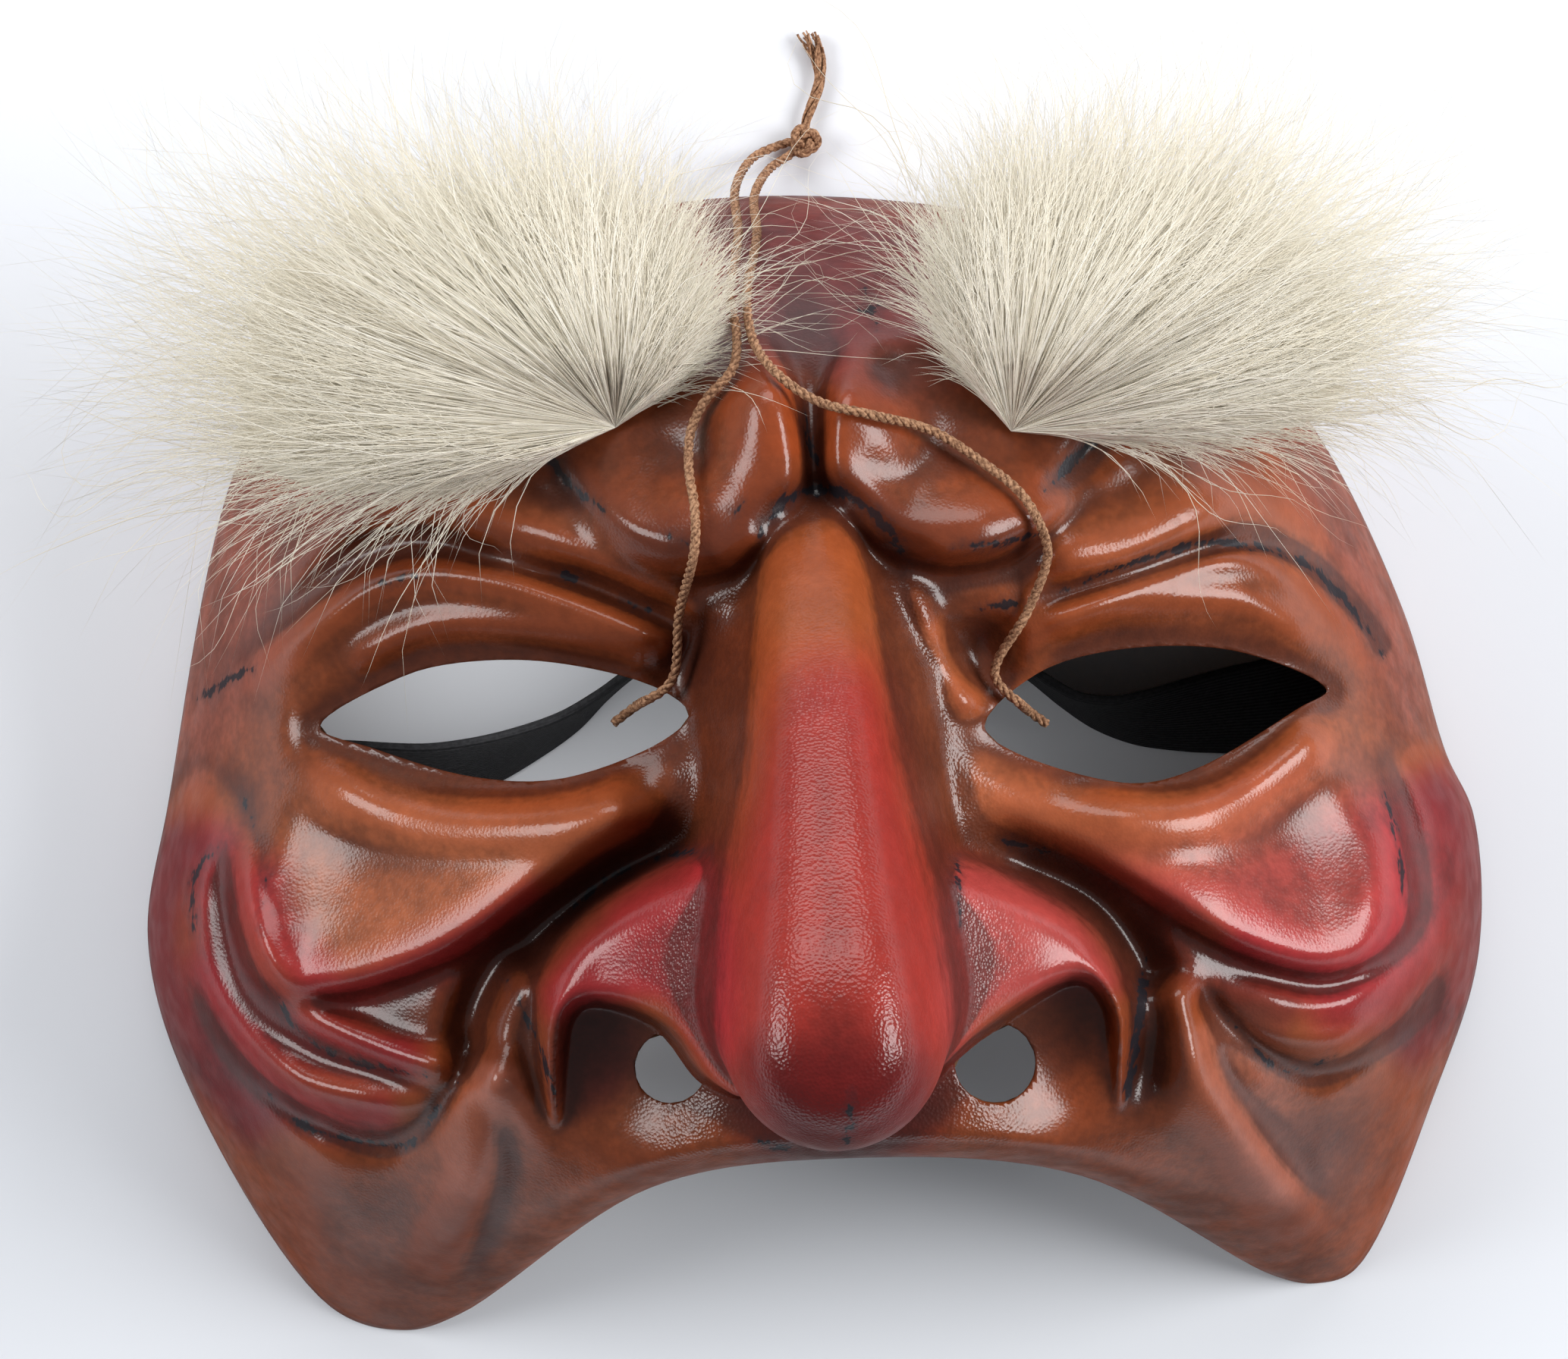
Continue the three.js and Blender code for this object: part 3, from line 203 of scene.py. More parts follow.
# Moulded folds and creases: side, height, width on the left and right as it runs, fullness, the shares
# of its length over which its ends fade, and the points that it runs through, out and up
FOLDS = {
    "brow_lump_left": (LEFT, 8, (17, 3.2), 1.8, (0.25, 0.35),
                       [(9, 45), (5, 39), (3.4, 25), (12, 15.6), (27.8, 21.8), (36.5, 35)]),
    "brow_lump_right": (RIGHT, 7.5, (15, 3.2), 1.8, (0.25, 0.35),
                        [(8, 43), (4.5, 38), (3.2, 25.5), (10.5, 17.2), (21.6, 15.9), (31.5, 22),
                         (35, 29)]),
    "furrow_right": (RIGHT, 1.8, (6, 4), 2, (0.18, 0.18), [(2, 41), (12, 44), (24, 43), (36, 38)]),
    "furrow_left": (LEFT, 1.8, (7, 5), 2, (0.18, 0.18), [(2, 46), (14, 52), (30, 53), (48, 47)]),
    "outer_brow_crease": (RIGHT, -2.6, (3.5, 3.5), 1.4, (0.18, 0.18), [(28.8, 20.5), (38.9, 31), (42, 36)]),
    "brow_edge_left": (LEFT, 3.4, (9, 2.6), 2, (0.1, 0.3),
                       [(15, 8.5), (30.7, 16.3), (39.8, 17.9), (48.9, 23.2), (60, 23), (68, 17)]),
    "under_brow_left": (LEFT, -3.2, (4.5, 3), 2, (0.1, 0.25),
                        [(17, 6.5), (28, 12.7), (50, 19.8), (58, 18.5), (76, 6)]),
    "lid_fold_left": (LEFT, 3.4, (2.2, 6), 1.6, (0.06, 0.15),
                      [(16, 4.5), (42.3, 15.3), (56.6, 15.5), (79, 0)]),
    "lid_edge_left": (LEFT, 1.8, (3.5, 3), 1.6, (0.18, 0.18), [(20.6, 3.4), (49.5, 9.4), (63, 4)]),
    "brow_edge_right": (RIGHT, 3.4, (9, 4), 2, (0.15, 0.3),
                        [(26, 13.5), (40.3, 14.5), (56.2, 20.6), (68, 13)]),
    "under_brow_right": (RIGHT, -2.8, (3.2, 1.4), 1.3, (0.2, 0.1),
                         [(24, 6.5), (58.6, 14.1), (70.4, 3.2), (72.3, -1)]),
    "lid_fold_right": (RIGHT, 1.9, (1.6, 4), 1.6, (0.2, 0.15), [(24, 4.5), (55, 13.2), (69.5, 1)]),
    "lid_edge_right": (RIGHT, 1.6, (3.5, 3.5), 1.8, (0.18, 0.18),
                       [(28, 4.5), (35, 7), (55.6, 7.4), (66, 0)]),
    "nasion_crease": (RIGHT, -2.6, (2.2, 2.2), 1.4, (0.1, 0.15),
                      [(-8, 18), (-4.5, 22.5), (3, 23.8), (10, 17.3), (16, 15)]),
    "lump_crease_left": (LEFT, -2.4, (2.4, 2), 1.4, (0.1, 0.2),
                         [(7, 17.5), (12, 14.8), (27.8, 21), (36, 33)]),
    "eye_bag_left": (LEFT, 2.4, (4.5, 6), 2, (0.25, 0.2),
                     [(24, -13.5), (29.7, -15.7), (55.6, -15.4), (70, -7)]),
    "eye_bag_right": (RIGHT, 2.6, (4.5, 6.5), 2, (0.25, 0.15), [(28, -17.5), (50, -19), (66, -8)]),
    "cheek_pad_left": (LEFT, 6.5, (20, 3.2), 1.7, (0.35, 0.2),
                       [(20, -16.5), (26.6, -18.4), (55.2, -33.9), (71.2, -35), (77, -10)]),
    "cheek_pad_right": (RIGHT, 6.5, (20, 3.2), 1.7, (0.35, 0.2),
                        [(20, -18.5), (40.1, -28), (52.6, -36.4), (64.1, -39.5), (72, -34.7), (70.5, -13)]),
    "cheek_fold_left": (LEFT, 3.5, (3.5, 3.2), 1.8, (0.15, 0.2),
                        [(50, -47.5), (53.2, -47.6), (70.9, -38.3), (76, -27), (77.5, -11)]),
    "cheek_fold_right": (RIGHT, 3.5, (3.5, 3.2), 1.8, (0.15, 0.2),
                         [(48, -42), (64, -45.5), (76.6, -36.2), (76.5, -17.5), (74, -11.5)]),
    "third_fold_left": (LEFT, 4, (3.6, 3.6), 1.8, (0.15, 0.2),
                        [(50, -54), (71.4, -48.2), (80.4, -37.9), (81.6, -24.2), (78, -12)]),
    "third_fold_right": (RIGHT, 3.4, (3.6, 3.2), 1.8, (0.15, 0.2),
                         [(50, -46.5), (64, -49.6), (77, -41), (82.3, -29), (78.2, -14.5)]),
    "bulge_left": (LEFT, 5, (5, 6), 2, (0.25, 0.3), [(78, -8), (83, -16), (86.5, -32), (81, -48)]),
    "bulge_right": (RIGHT, 4, (4, 6), 2, (0.25, 0.3), [(74, -6), (82.3, -24), (81, -40), (78, -48)]),
    "smile_left": (LEFT, -3, (2.6, 3), 1.4, (0.1, 0.15),
                   [(47, -43), (49.6, -49), (58.2, -57.4), (70.3, -53.4), (80.7, -40.7), (84, -32)]),
    "smile_right": (RIGHT, -2.6, (2.6, 3), 1.4, (0.1, 0.15),
                    [(46, -42), (50.2, -47.4), (60.8, -54.2), (73.4, -47.9), (82, -34)]),
    "valley_left": (LEFT, -6, (6.5, 6), 1.7, (0.15, 0.2),
                    [(15, -18.5), (30, -25.2), (44, -37.5), (48.5, -52)]),
    "valley_right": (RIGHT, -6, (6.5, 4.5), 1.7, (0.15, 0.2),
                     [(15, -21), (34.5, -31.5), (40.3, -44), (37, -60)]),
    "wing_roll_left": (LEFT, 5, (4.2, 4.2), 2, (0.2, 0.35), [(39, -33.5), (44.8, -44.7), (38, -63)]),
    "jowl_edge_left": (LEFT, 4.5, (10, 4.5), 1.8, (0.2, 0.3), [(46, -44), (48.4, -62.7), (56, -78)]),
    "jowl_edge_right": (RIGHT, 6, (4.5, 13), 1.6, (0.15, 0.2), [(42.3, -39), (46.2, -54.2), (62, -77.5)]),
    "eye_ridge_right": (RIGHT, 2.6, (3, 3), 1.6, (0.25, 0.2), [(9, 17), (17, -1.3), (20, -6)]),
    "eye_ridge_left": (LEFT, 2, (3, 3), 1.6, (0.25, 0.2), [(10, 16), (14.6, 3), (16, -3)]),
}

# Swellings and hollows: side, middle out and up, half sizes, height, turn in degrees
SWELLINGS = {
    "lump_top_left": (LEFT, (9, 30), (6, 10), 1.8, 10),
    "lump_foot_left": (LEFT, (14, 23), (9, 7), 1.6, 0),
    "lump_top_right": (RIGHT, (10, 31), (6, 6), 1.6, 0),
    "lump_foot_right": (RIGHT, (20, 21), (10, 6), 1.4, 0),
    "forehead_dip": (RIGHT, (0, 44), (7, 10), -2.2, 0),
    "eye_corner_left": (LEFT, (17, 3), (8, 7.5), -5, 0),
    "eye_corner_right": (RIGHT, (20, 2), (8, 8), -5, 0),
    "jowl_scoop_right": (RIGHT, (62, -62), (13, 12), -3.5, -40),
    "jowl_scoop_left": (LEFT, (60, -64), (10, 14), -2, 30),
    "nostril_hollow_left": (LEFT, (26, -50), (12, 12), -2.5, 0),
    "nostril_hollow_right": (RIGHT, (26, -50), (12, 12), -2.5, 0),
}

# Fur brows: the tip where each is glued down, and how far the hair reaches at angles about that tip
FURS = {
    "brow_fur_left": ((-25.4, 33.6), [(32, 14), (45, 24), (60, 31), (80, 40), (115, 50), (145, 67),
                                      (168, 75), (183, 68), (193, 46), (202, 26)]),
    "brow_fur_right": ((25.7, 30.7), [(-8, 26), (3, 62), (20, 68), (45, 60), (70, 50), (95, 42),
                                      (113, 31), (128, 14)]),
}

# Edges of the fur that single hairs fall from: angle, turn in degrees, least and most share of the reach
EDGES = {
    "brow_fur_left": [(197, 20, 0.3, 1.0), (192, 30, 0.5, 1.0), (186, 20, 0.7, 1.0), (201, 40, 0.2, 0.8),
                      (40, -40, 0.5, 1.1), (52, -60, 0.7, 1.1), (36, -70, 0.3, 1.0)],
    "brow_fur_right": [(-4, -60, 0.3, 1.0), (0, -40, 0.4, 1.0), (-8, -80, 0.2, 0.9), (120, 50, 0.3, 1.1),
                       (110, 30, 0.6, 1.1)],
}

# The slack elastic strap: across, up, its turn on its edge in degrees, its lift off the table
STRAP = [
    (-79, -11.5, 18, 0), (-73, -11.2, 34, 0), (-67, -10.6, 52, 0), (-60, -10, 63, 0),
    (-51.4, -10, 68, 0), (-45.5, -9, 72, 0), (-39.5, -7, 78, 0), (-33.4, -4.2, 84, 0),
    (-28.6, -0.8, 89, 0), (-24, 2.3, 90, 0), (-14, 6.6, 90, 0), (0, 8.6, 90, 0), (14, 6.8, 90, 0),
    (22, 2.8, 90, 0), (27.4, -1.2, 89, 0), (31.7, -4.4, 86, 0), (36, -6.3, 79, 0),
    (41, -7.1, 70, 0), (47, -7, 62, 0), (52, -6.7, 57, 0), (59, -6.4, 50, 0), (66, -6, 36, 0),
    (72, -6, 18, 0),
]

# The string's two strands, from inside the eye holes to the knot, and its frayed end
CORD_LEFT = [
    (-27.5, -4.6), (-24.6, -2.6), (-19.8, 0.4), (-18.3, 9.3), (-16, 17.2), (-15.7, 22.7), (-16.2, 27.7),
    (-15.7, 32.7), (-13.6, 36.6), (-9.9, 40.5), (-9.2, 45), (-9.9, 50), (-8.4, 57.6), (-8.5, 63.7),
    (-6.2, 67.4), (-2.6, 69), (0.1, 69.6),
]
CORD_RIGHT = [
    (28.5, -7.4), (25.6, -5), (22, -0.6), (26.6, 7.2), (29.4, 13.6), (29.5, 16.1), (26.8, 22.2),
    (21.5, 27), (15.2, 31.3), (7.8, 33.6), (0.9, 35.7), (-3.9, 39.2), (-6.9, 43.4), (-7.7, 49.6),
    (-6, 57.6), (-6.1, 62.6), (-4.2, 65.8), (-1.4, 67.6), (0.5, 68.8),
]
KNOT = (0.8, 69.4)
CORD_END = [(0.8, 69.6), (1.3, 72.4), (3.0, 77.4), (2.6, 81.4), (1.7, 84.2)]

# Dyes, and the colours of painted shade and painted sheen
TAN = (0.44, 0.120, 0.045)
ORANGE = (0.31, 0.072, 0.020)
RUST = (0.32, 0.060, 0.014)
SADDLE = (0.20, 0.040, 0.012)
CHESTNUT = (0.15, 0.030, 0.010)
# Painted shade for hollows and creases
SHADE_UMBER = (0.085, 0.020, 0.010)
BRICK = (0.29, 0.022, 0.016)
BLOOD = (0.10, 0.004, 0.004)
RASPBERRY = (0.36, 0.020, 0.028)
ROSE = (0.40, 0.052, 0.048)
CRIMSON = (0.26, 0.012, 0.020)
WINE = (0.14, 0.018, 0.018)
BURGUNDY = (0.13, 0.007, 0.012)
MAUVE = (0.26, 0.080, 0.062)
PLUM = (0.17, 0.030, 0.038)
# Painted sheen for the jowls
SHEEN_PINK = (0.42, 0.150, 0.100)
BASE = (0.27, 0.062, 0.018)
RAW_EDGE = (0.30, 0.120, 0.050)
RAW_INSIDE = (0.17, 0.085, 0.045)

# What the leather's corners carry where there is no paint, relief or wax
NO_INK = 9.0
PLAIN = {"ink": NO_INK, "raised": 0.0, "nose": 0.0, "wax": 0.0}

# Dyed areas in the picture plane: colour, strength, softness of the edge, outline
ZONES = {
    "nose_root": (ORANGE, 0.75, 6, [
        (-4, 19), (1, 21), (7, 18), (11, 8), (11, -2), (1, -6), (-8, -1), (-7, 9)]),
    "nose_red": (BRICK, 0.95, 7, [
        (-5, 1), (2, 3), (8, 0), (12, -16), (16, -32), (16, -48), (10, -60), (-2, -64), (-12, -59),
        (-17, -48), (-16, -30), (-11, -15)]),
    "nose_tip": (BLOOD, 0.92, 6, [
        (-12, -48), (-1, -46), (10, -49), (12, -56), (7, -62), (-2, -64), (-10, -61)]),
    "wing_left": (RASPBERRY, 0.9, 3, [
        (-15, -22), (-20, -22), (-30, -28), (-36, -34), (-39, -39), (-37, -43), (-29, -41), (-23, -41),
        (-19, -46), (-15, -50)]),
    "wing_right": (ROSE, 0.9, 3, [
        (16, -24), (23, -26), (31, -31), (35, -37), (37, -42), (33, -43), (24, -43), (18, -45),
        (14, -50)]),
    "nostril_left": (WINE, 0.75, 3, [
        (-37, -43), (-29, -41), (-26, -44), (-27, -50), (-31, -54), (-36, -55), (-38, -49)]),
    "nostril_right": (RUST, 0.8, 4, [(26, -44), (36, -44), (36, -53), (32, -59), (25, -58)]),
    "cheek_left": (TAN, 0.8, 5, [
        (-70, -12), (-58, -11), (-42, -17), (-24, -16), (-32, -22), (-49, -31), (-61, -35), (-69, -34),
        (-72, -24)]),
    "cheek_right": (ROSE, 0.8, 6, [
        (31, -25), (43, -22), (57, -16), (67, -14), (73, -19), (74, -31), (71, -40), (63, -42),
        (50, -36), (38, -31)]),
    "cheek_right_tan": (TAN, 0.7, 6, [
        (20, -12), (31, -17), (45, -18), (59, -14), (65, -10), (71, -15), (63, -20), (47, -26),
        (31, -25), (19, -20)]),
    "temple_left": (MAUVE, 0.7, 6, [
        (-76, 28), (-66, 25), (-68, 12), (-75, -2), (-83, -11), (-85, -3), (-81, 12)]),
    "temple_right": (MAUVE, 0.7, 6, [
        (63, 27), (71, 19), (76, 5), (78, -9), (74, -11), (70, 1), (63, 17)]),
    "forehead_top": (PLUM, 0.8, 6, [
        (-11, 62), (15, 59), (23, 47), (22, 38), (8, 35), (-2, 40), (-8, 40), (-11, 49)]),
    "lump_left": (SADDLE, 0.75, 5, [
        (-9, 45), (-4, 39), (-3, 25), (-12, 16), (-28, 21), (-37, 35), (-25, 43)]),
    "lump_right": (SADDLE, 0.6, 5, [
        (8, 43), (4, 38), (3, 26), (10, 17), (22, 16), (32, 22), (36, 30), (25, 41)]),
    "outer_brow_left": (CHESTNUT, 0.7, 6, [
        (-36, 24), (-48, 22), (-66, 17), (-70, 23), (-62, 30), (-42, 31)]),
    "lip": (SADDLE, 0.6, 6, [
        (-44, -49), (-26, -58), (-10, -61), (9, -62), (25, -60), (37, -57), (41, -67), (17, -64),
        (-11, -63), (-30, -65), (-42, -65)]),
    "jowl_left": (CHESTNUT, 0.6, 8, [
        (-81, -47), (-64, -60), (-48, -61), (-44, -69), (-55, -80), (-65, -80), (-76, -63)]),
    "jowl_right": (CHESTNUT, 0.5, 8, [
        (45, -53), (61, -58), (75, -51), (68, -72), (58, -80), (50, -75), (43, -61)]),
}

# Dyed strokes, some of them painted shade in hollows and creases and painted sheen and highlights on
# crests: colour, strength, half width, softness of the edges, the points that they run through
STROKES = {
    "pad_edge_left": (RASPBERRY, 0.85, 3.5, 3, [
        (-73, -16), (-73, -26), (-69, -34), (-64, -38), (-51, -34), (-41, -29), (-34, -25)]),
    "pad_shade_left": (CHESTNUT, 0.7, 3.5, 3, [(-61, -43), (-49, -39), (-39, -32), (-29, -26)]),
    "fold_2_left": (CRIMSON, 0.85, 3.5, 2.5, [
        (-78, -12), (-80, -22), (-78, -35), (-71, -43), (-61, -46), (-51, -47)]),
    "fold_3_left": (CRIMSON, 0.8, 3.0, 2.5, [
        (-83, -29), (-80, -40), (-73, -50), (-64, -54), (-56, -53)]),
    "bulge_left": (BURGUNDY, 0.9, 3.6, 2.5, [
        (-80, -13), (-86, -21), (-88, -31), (-86, -39), (-79, -50), (-72, -58)]),
    "pad_edge_right": (RASPBERRY, 0.85, 4, 3.5, [
        (72, -15), (74, -27), (72, -36), (66, -42), (56, -39), (48, -34)]),
    "fold_2_right": (CRIMSON, 0.7, 3.2, 3, [(76, -13), (79, -25), (77, -37), (70, -45), (58, -47)]),
    "bulge_right": (BURGUNDY, 0.8, 3.4, 3, [(77, -13), (82, -25), (83, -35), (78, -47), (69, -54)]),
    "pad_shade_right": (WINE, 0.6, 3.5, 3, [(38, -31), (50, -42), (60, -47)]),
    # Painted shade in the valleys beside the nose and wings
    "valley_left": (SHADE_UMBER, 0.75, 4, 4, [(-16, -20), (-29, -25), (-39, -34), (-44, -45), (-46, -53)]),
    "valley_right": (SHADE_UMBER, 0.7, 3.5, 4, [(19, -21), (31, -28), (39, -39), (39, -53), (36, -61)]),
    # Painted sheen on the jowls
    "jowl_gleam_left": (SHEEN_PINK, 0.55, 3.0, 5, [(-44, -47), (-46, -57), (-50, -66)]),
    "jowl_gleam_right": (SHEEN_PINK, 0.5, 4.5, 6, [(48, -45), (52, -57), (58, -72)]),
    "brow_left": (CHESTNUT, 0.6, 4, 5, [(-66, 16), (-50, 19), (-36, 21), (-25, 16), (-17, 12)]),
    "brow_gleam_left": (TAN, 0.5, 2.5, 3, [(-60, 21), (-46, 24), (-34, 23), (-23, 17)]),
    "lid_left": (CHESTNUT, 0.5, 2.5, 3, [(-64, 4), (-51, 8), (-37, 8), (-21, 2)]),
    "brow_right_gleam": (TAN, 0.5, 3, 4, [(33, 13), (45, 17), (57, 17), (66, 11)]),
    # Painted shade under the brow lumps, in the crease at the nose's root and in the eyes' inner corners
    "lump_shade_left": (SHADE_UMBER, 0.7, 3, 3, [(-36, 33), (-32, 26), (-26, 21), (-17, 18), (-7, 20)]),
    "lump_shade_right": (SHADE_UMBER, 0.6, 3, 3, [(3, 28), (5, 23), (13, 19), (23, 16), (31, 18)]),
    "nasion": (SHADE_UMBER, 0.8, 2.4, 3, [(-11, 17), (-6, 22), (0, 24), (5, 22), (11, 16), (13, 10)]),
    "eye_corner_left": (SHADE_UMBER, 0.7, 4, 5, [(-17, 9), (-16, -1)]),
    "eye_corner_right": (SHADE_UMBER, 0.6, 4, 5, [(15, 12), (18, 2)]),
    "nose_side_left": (RUST, 0.7, 4, 5, [(-9, 9), (-13, -5), (-17, -18)]),
    "nose_side_right": (TAN, 0.8, 4, 5, [(13, 8), (16, -6), (19, -20)]),
    "forehead_middle": (RUST, 0.7, 4.5, 5, [(-2, 28), (-1, 34), (2, 39)]),
    "eye_rim_left": (RUST, 0.6, 1.4, 2, [(-48, -12), (-36, -13), (-24, -9), (-18, -5)]),
    "eye_rim_right": (RUST, 0.5, 1.4, 2, [(20, -6), (28, -13), (41, -17)]),
}

# Strokes of black paint in the creases: half width, the points that they run through
INK = [
    (0.55, [(-79, -18), (-82, -21), (-83, -26), (-82, -32)]),
    (0.55, [(-73.5, -36.5), (-69.5, -43), (-63.5, -46.5), (-53.5, -49)]),
    (0.6, [(-76, -48.5), (-70, -54.5), (-63, -57), (-56, -57.5), (-53, -54), (-50, -50)]),
    (0.3, [(-76, -11), (-73.5, -20), (-74.5, -29.5)]),
    (0.55, [(-35.5, -29.5), (-29, -24.5), (-21, -22), (-16, -21.5)]),
    (0.5, [(-43, -37), (-39.5, -44.5), (-36.5, -55.5)]),
    (0.9, [(40, -37.5), (38, -49), (36, -58)]),
    (0.4, [(71, -16.5), (73, -24.5), (73.5, -32.5)]),
    (0.35, [(49.5, -46), (57, -53.5), (63.5, -52)]),
    (0.7, [(30.5, 9.5), (42.5, 13.5), (52.5, 15), (62.5, 12), (69, 5), (73, -2)]),
    (0.9, [(29.5, 22.5), (33.5, 26.5), (39, 31)]),
    (0.8, [(-35.5, 33), (-32.5, 27.5), (-27, 22.5)]),
    (0.9, [(-7.5, 18.5), (-3.5, 23.5), (2.5, 24), (9, 19), (11.5, 13.5)]),
    (0.8, [(-1, 34.5), (-0.5, 30.5), (0.5, 27)]),
    (0.55, [(17.5, 16), (25, 16.5), (29.5, 17.5)]),
    (0.8, [(-34, 15), (-30.5, 14)]),
    (0.6, [(-25, 11), (-21.5, 9.5)]),
    (0.45, [(-58.5, 14.5), (-54, 15.5), (-48.5, 16)]),
    (0.6, [(16, -24.5), (16, -33)]),
    (0.7, [(21.5, -22), (24.5, -23), (29, -24)]),
    (0.7, [(1, -54), (0, -61)]),
    (0.8, [(-81, 1), (-77.5, 3), (-73, 5)]),
    (0.5, [(-20, 19.5), (-16, 18)]),
    (0.55, [(20.5, 8), (26, 8.5)]),
    (0.7, [(6.5, 47), (9.5, 47.5)]),
    (0.6, [(7.5, 50.5), (9, 44.5)]),
    (0.6, [(-11, 21), (-9, 23.5)]),
    (0.6, [(-11.5, -59.5), (-6.5, -61)]),
]


def ease(value):
    t = np.clip(value, 0, 1)
    return t * t * (3 - 2 * t)


def quarter_round(value):
    return np.sqrt(1 - (1 - np.clip(value, 0, 1)) ** 2)


def mix(a, b, t):
    return a + (b - a) * t


def curve_through(points, closed=False, steps=10):
    """A smooth curve through points that have two places and any further values."""
    p = np.array(points, float)
    count = len(p)
    if closed:
        around = np.vstack([p[-1:], p, p[:2]])
    else:
        around = np.vstack([2 * p[:1] - p[1:2], p, 2 * p[-1:] - p[-2:-1]])
    t = (np.arange(steps) / steps)[:, None]
    line = []
    for i in range(count if closed else count - 1):
        a, b, c, d = around[i:i + 4]
        before, here, after = (
            math.sqrt(max(math.hypot(*(q - p)[:2]), 1e-6)) for p, q in ((a, b), (b, c), (c, d)))
        leave = ((b - a) / before - (c - a) / (before + here) + (c - b) / here) * here
        arrive = ((c - b) / here - (d - b) / (here + after) + (d - c) / after) * here
        square = -3 * b + 3 * c - 2 * leave - arrive
        line.append(b + leave * t + square * t ** 2 + (2 * b - 2 * c + leave + arrive) * t ** 3)
    if not closed:
        line.append(p[-1:])
    return np.vstack(line)


def nearest(line, x, y, closed=False):
    """The nearest place on a line: distance, positive on its left or inside it, and its share along."""
    x, y = np.asarray(x, float), np.asarray(y, float)
    ends = np.vstack([line[1:], line[:1]]) if closed else line[1:]
    starts = line if closed else line[:-1]
    best = np.full(x.shape, np.inf)
    turn = np.ones(x.shape)
    share = np.zeros(x.shape)
    inside = np.zeros(x.shape, bool)
    for i, (p, q) in enumerate(zip(starts, ends)):
        sx, sy = q[0] - p[0], q[1] - p[1]
        dx, dy = x - p[0], y - p[1]
        t = np.clip((dx * sx + dy * sy) / max(sx * sx + sy * sy, 1e-9), 0, 1)
        away = np.hypot(dx - t * sx, dy - t * sy)
        near = away < best
        best = np.where(near, away, best)
        turn = np.where(near, np.where(sx * dy - sy * dx >= 0, 1, -1), turn)
        share = np.where(near, (i + t) / len(starts), share)
        if closed and sy:
            inside ^= ((p[1] > y) != (q[1] > y)) & (x < p[0] + sx * (y - p[1]) / sy)
    if closed:
        turn = np.where(inside, 1, -1)
    return best * turn, share


def carried(line, share, column):
    """A value that a closed line carries, at a share of the way round it."""
    values = np.append(line[:, column], line[0, column])
    return np.interp(share * len(line), np.arange(len(line) + 1), values)


def stations_at(stations, place):
    """The values of the stations of the nose, which run down it, at a place."""
    order = np.argsort(stations[:, 0])
    return [np.interp(place, stations[order, 0], stations[order, k]) for k in (1, 2, 3, 4)]


def blend_max(a, b, radius):
    t = np.clip(0.5 + 0.5 * (a - b) / radius, 0, 1)
    return mix(b, a, t) + radius * t * (1 - t)


def softened(heights, reach, step=RELIEF_STEP):
    """Heights smoothed by a bell of this reach."""
    cells = max(1, int(3 * reach / step))
    weights = np.exp(-0.5 * (np.arange(-cells, cells + 1) * step / reach) ** 2)
    weights /= weights.sum()
    wide = np.pad(heights, cells, mode="edge")
    wide = sum(w * wide[i:i + heights.shape[0]] for i, w in enumerate(weights))
    return sum(w * wide[:, i:i + heights.shape[1]] for i, w in enumerate(weights))


class Relief:
    """A height over every place of the face, on a regular grid."""

    low = np.array([-106.0, -92.0])

    def __init__(self):
        self.across = np.arange(self.low[0], 104, RELIEF_STEP)
        self.up = np.arange(self.low[1], 88, RELIEF_STEP)
        self.x, self.y = np.meshgrid(self.across, self.up, indexing="ij")

    def window(self, side, box):
        """The part of the grid within a box of out and up."""
        low, high = sorted((box[0] * side, box[1] * side))
        i = slice(*np.searchsorted(self.across, (low, high)))
        j = slice(*np.searchsorted(self.up, (box[2], box[3])))
        return i, j

    def sample(self, heights, x, y, step=RELIEF_STEP):
        u = np.clip((np.asarray(x) - self.low[0]) / step, 0, heights.shape[0] - 1.001)
        v = np.clip((np.asarray(y) - self.low[1]) / step, 0, heights.shape[1] - 1.001)
        i, j = u.astype(int), v.astype(int)
        near = mix(heights[i, j], heights[i, j + 1], v - j)
        far = mix(heights[i + 1, j], heights[i + 1, j + 1], v - j)
        return mix(near, far, u - i)


def box_of(line, margin):
    return (line[:, 0].min() - margin, line[:, 0].max() + margin,
            line[:, 1].min() - margin, line[:, 1].max() + margin)


def add_fold(relief, heights, side, height, widths, fullness, ends, through):
    line = curve_through(through)
    window = relief.window(side, box_of(line, max(widths)))
    distance, share = nearest(line, relief.x[window] * side, relief.y[window])
    reach = np.where(distance > 0, distance / widths[0], -distance / widths[1])
    fade = ease(share / ends[0]) * ease((1 - share) / ends[1])
    rise = height * fade * (1 - np.clip(reach, 0, 1) ** fullness) ** 2
    if max(widths) > WIDE_FOLD:
        rise = mix(rise, softened(rise, 3.2), ease((np.abs(distance) - 3) / 6))
    heights[window] += rise


def add_swelling(relief, heights, side, at, size, height, turn):
    angle = math.radians(turn)
    dx, dy = relief.x * side - at[0], relief.y - at[1]
    x = (dx * math.cos(angle) + dy * math.sin(angle)) / size[0]
    y = (dy * math.cos(angle) - dx * math.sin(angle)) / size[1]
    heights += height * (1 - np.minimum(1, x * x + y * y)) ** 2


def add_wing(relief, heights, side, around):
    line = curve_through(around, True)
    window = relief.window(side, box_of(line, 1))
    out = relief.x[window] * side
    distance, share = nearest(line, out, relief.y[window], True)
    rise = WING_RISE + WING_RISE_AT_NOSE * ease((32 - out) / 24)
    heights[window] += rise * quarter_round(np.maximum(distance, 0) / carried(line, share, 2))


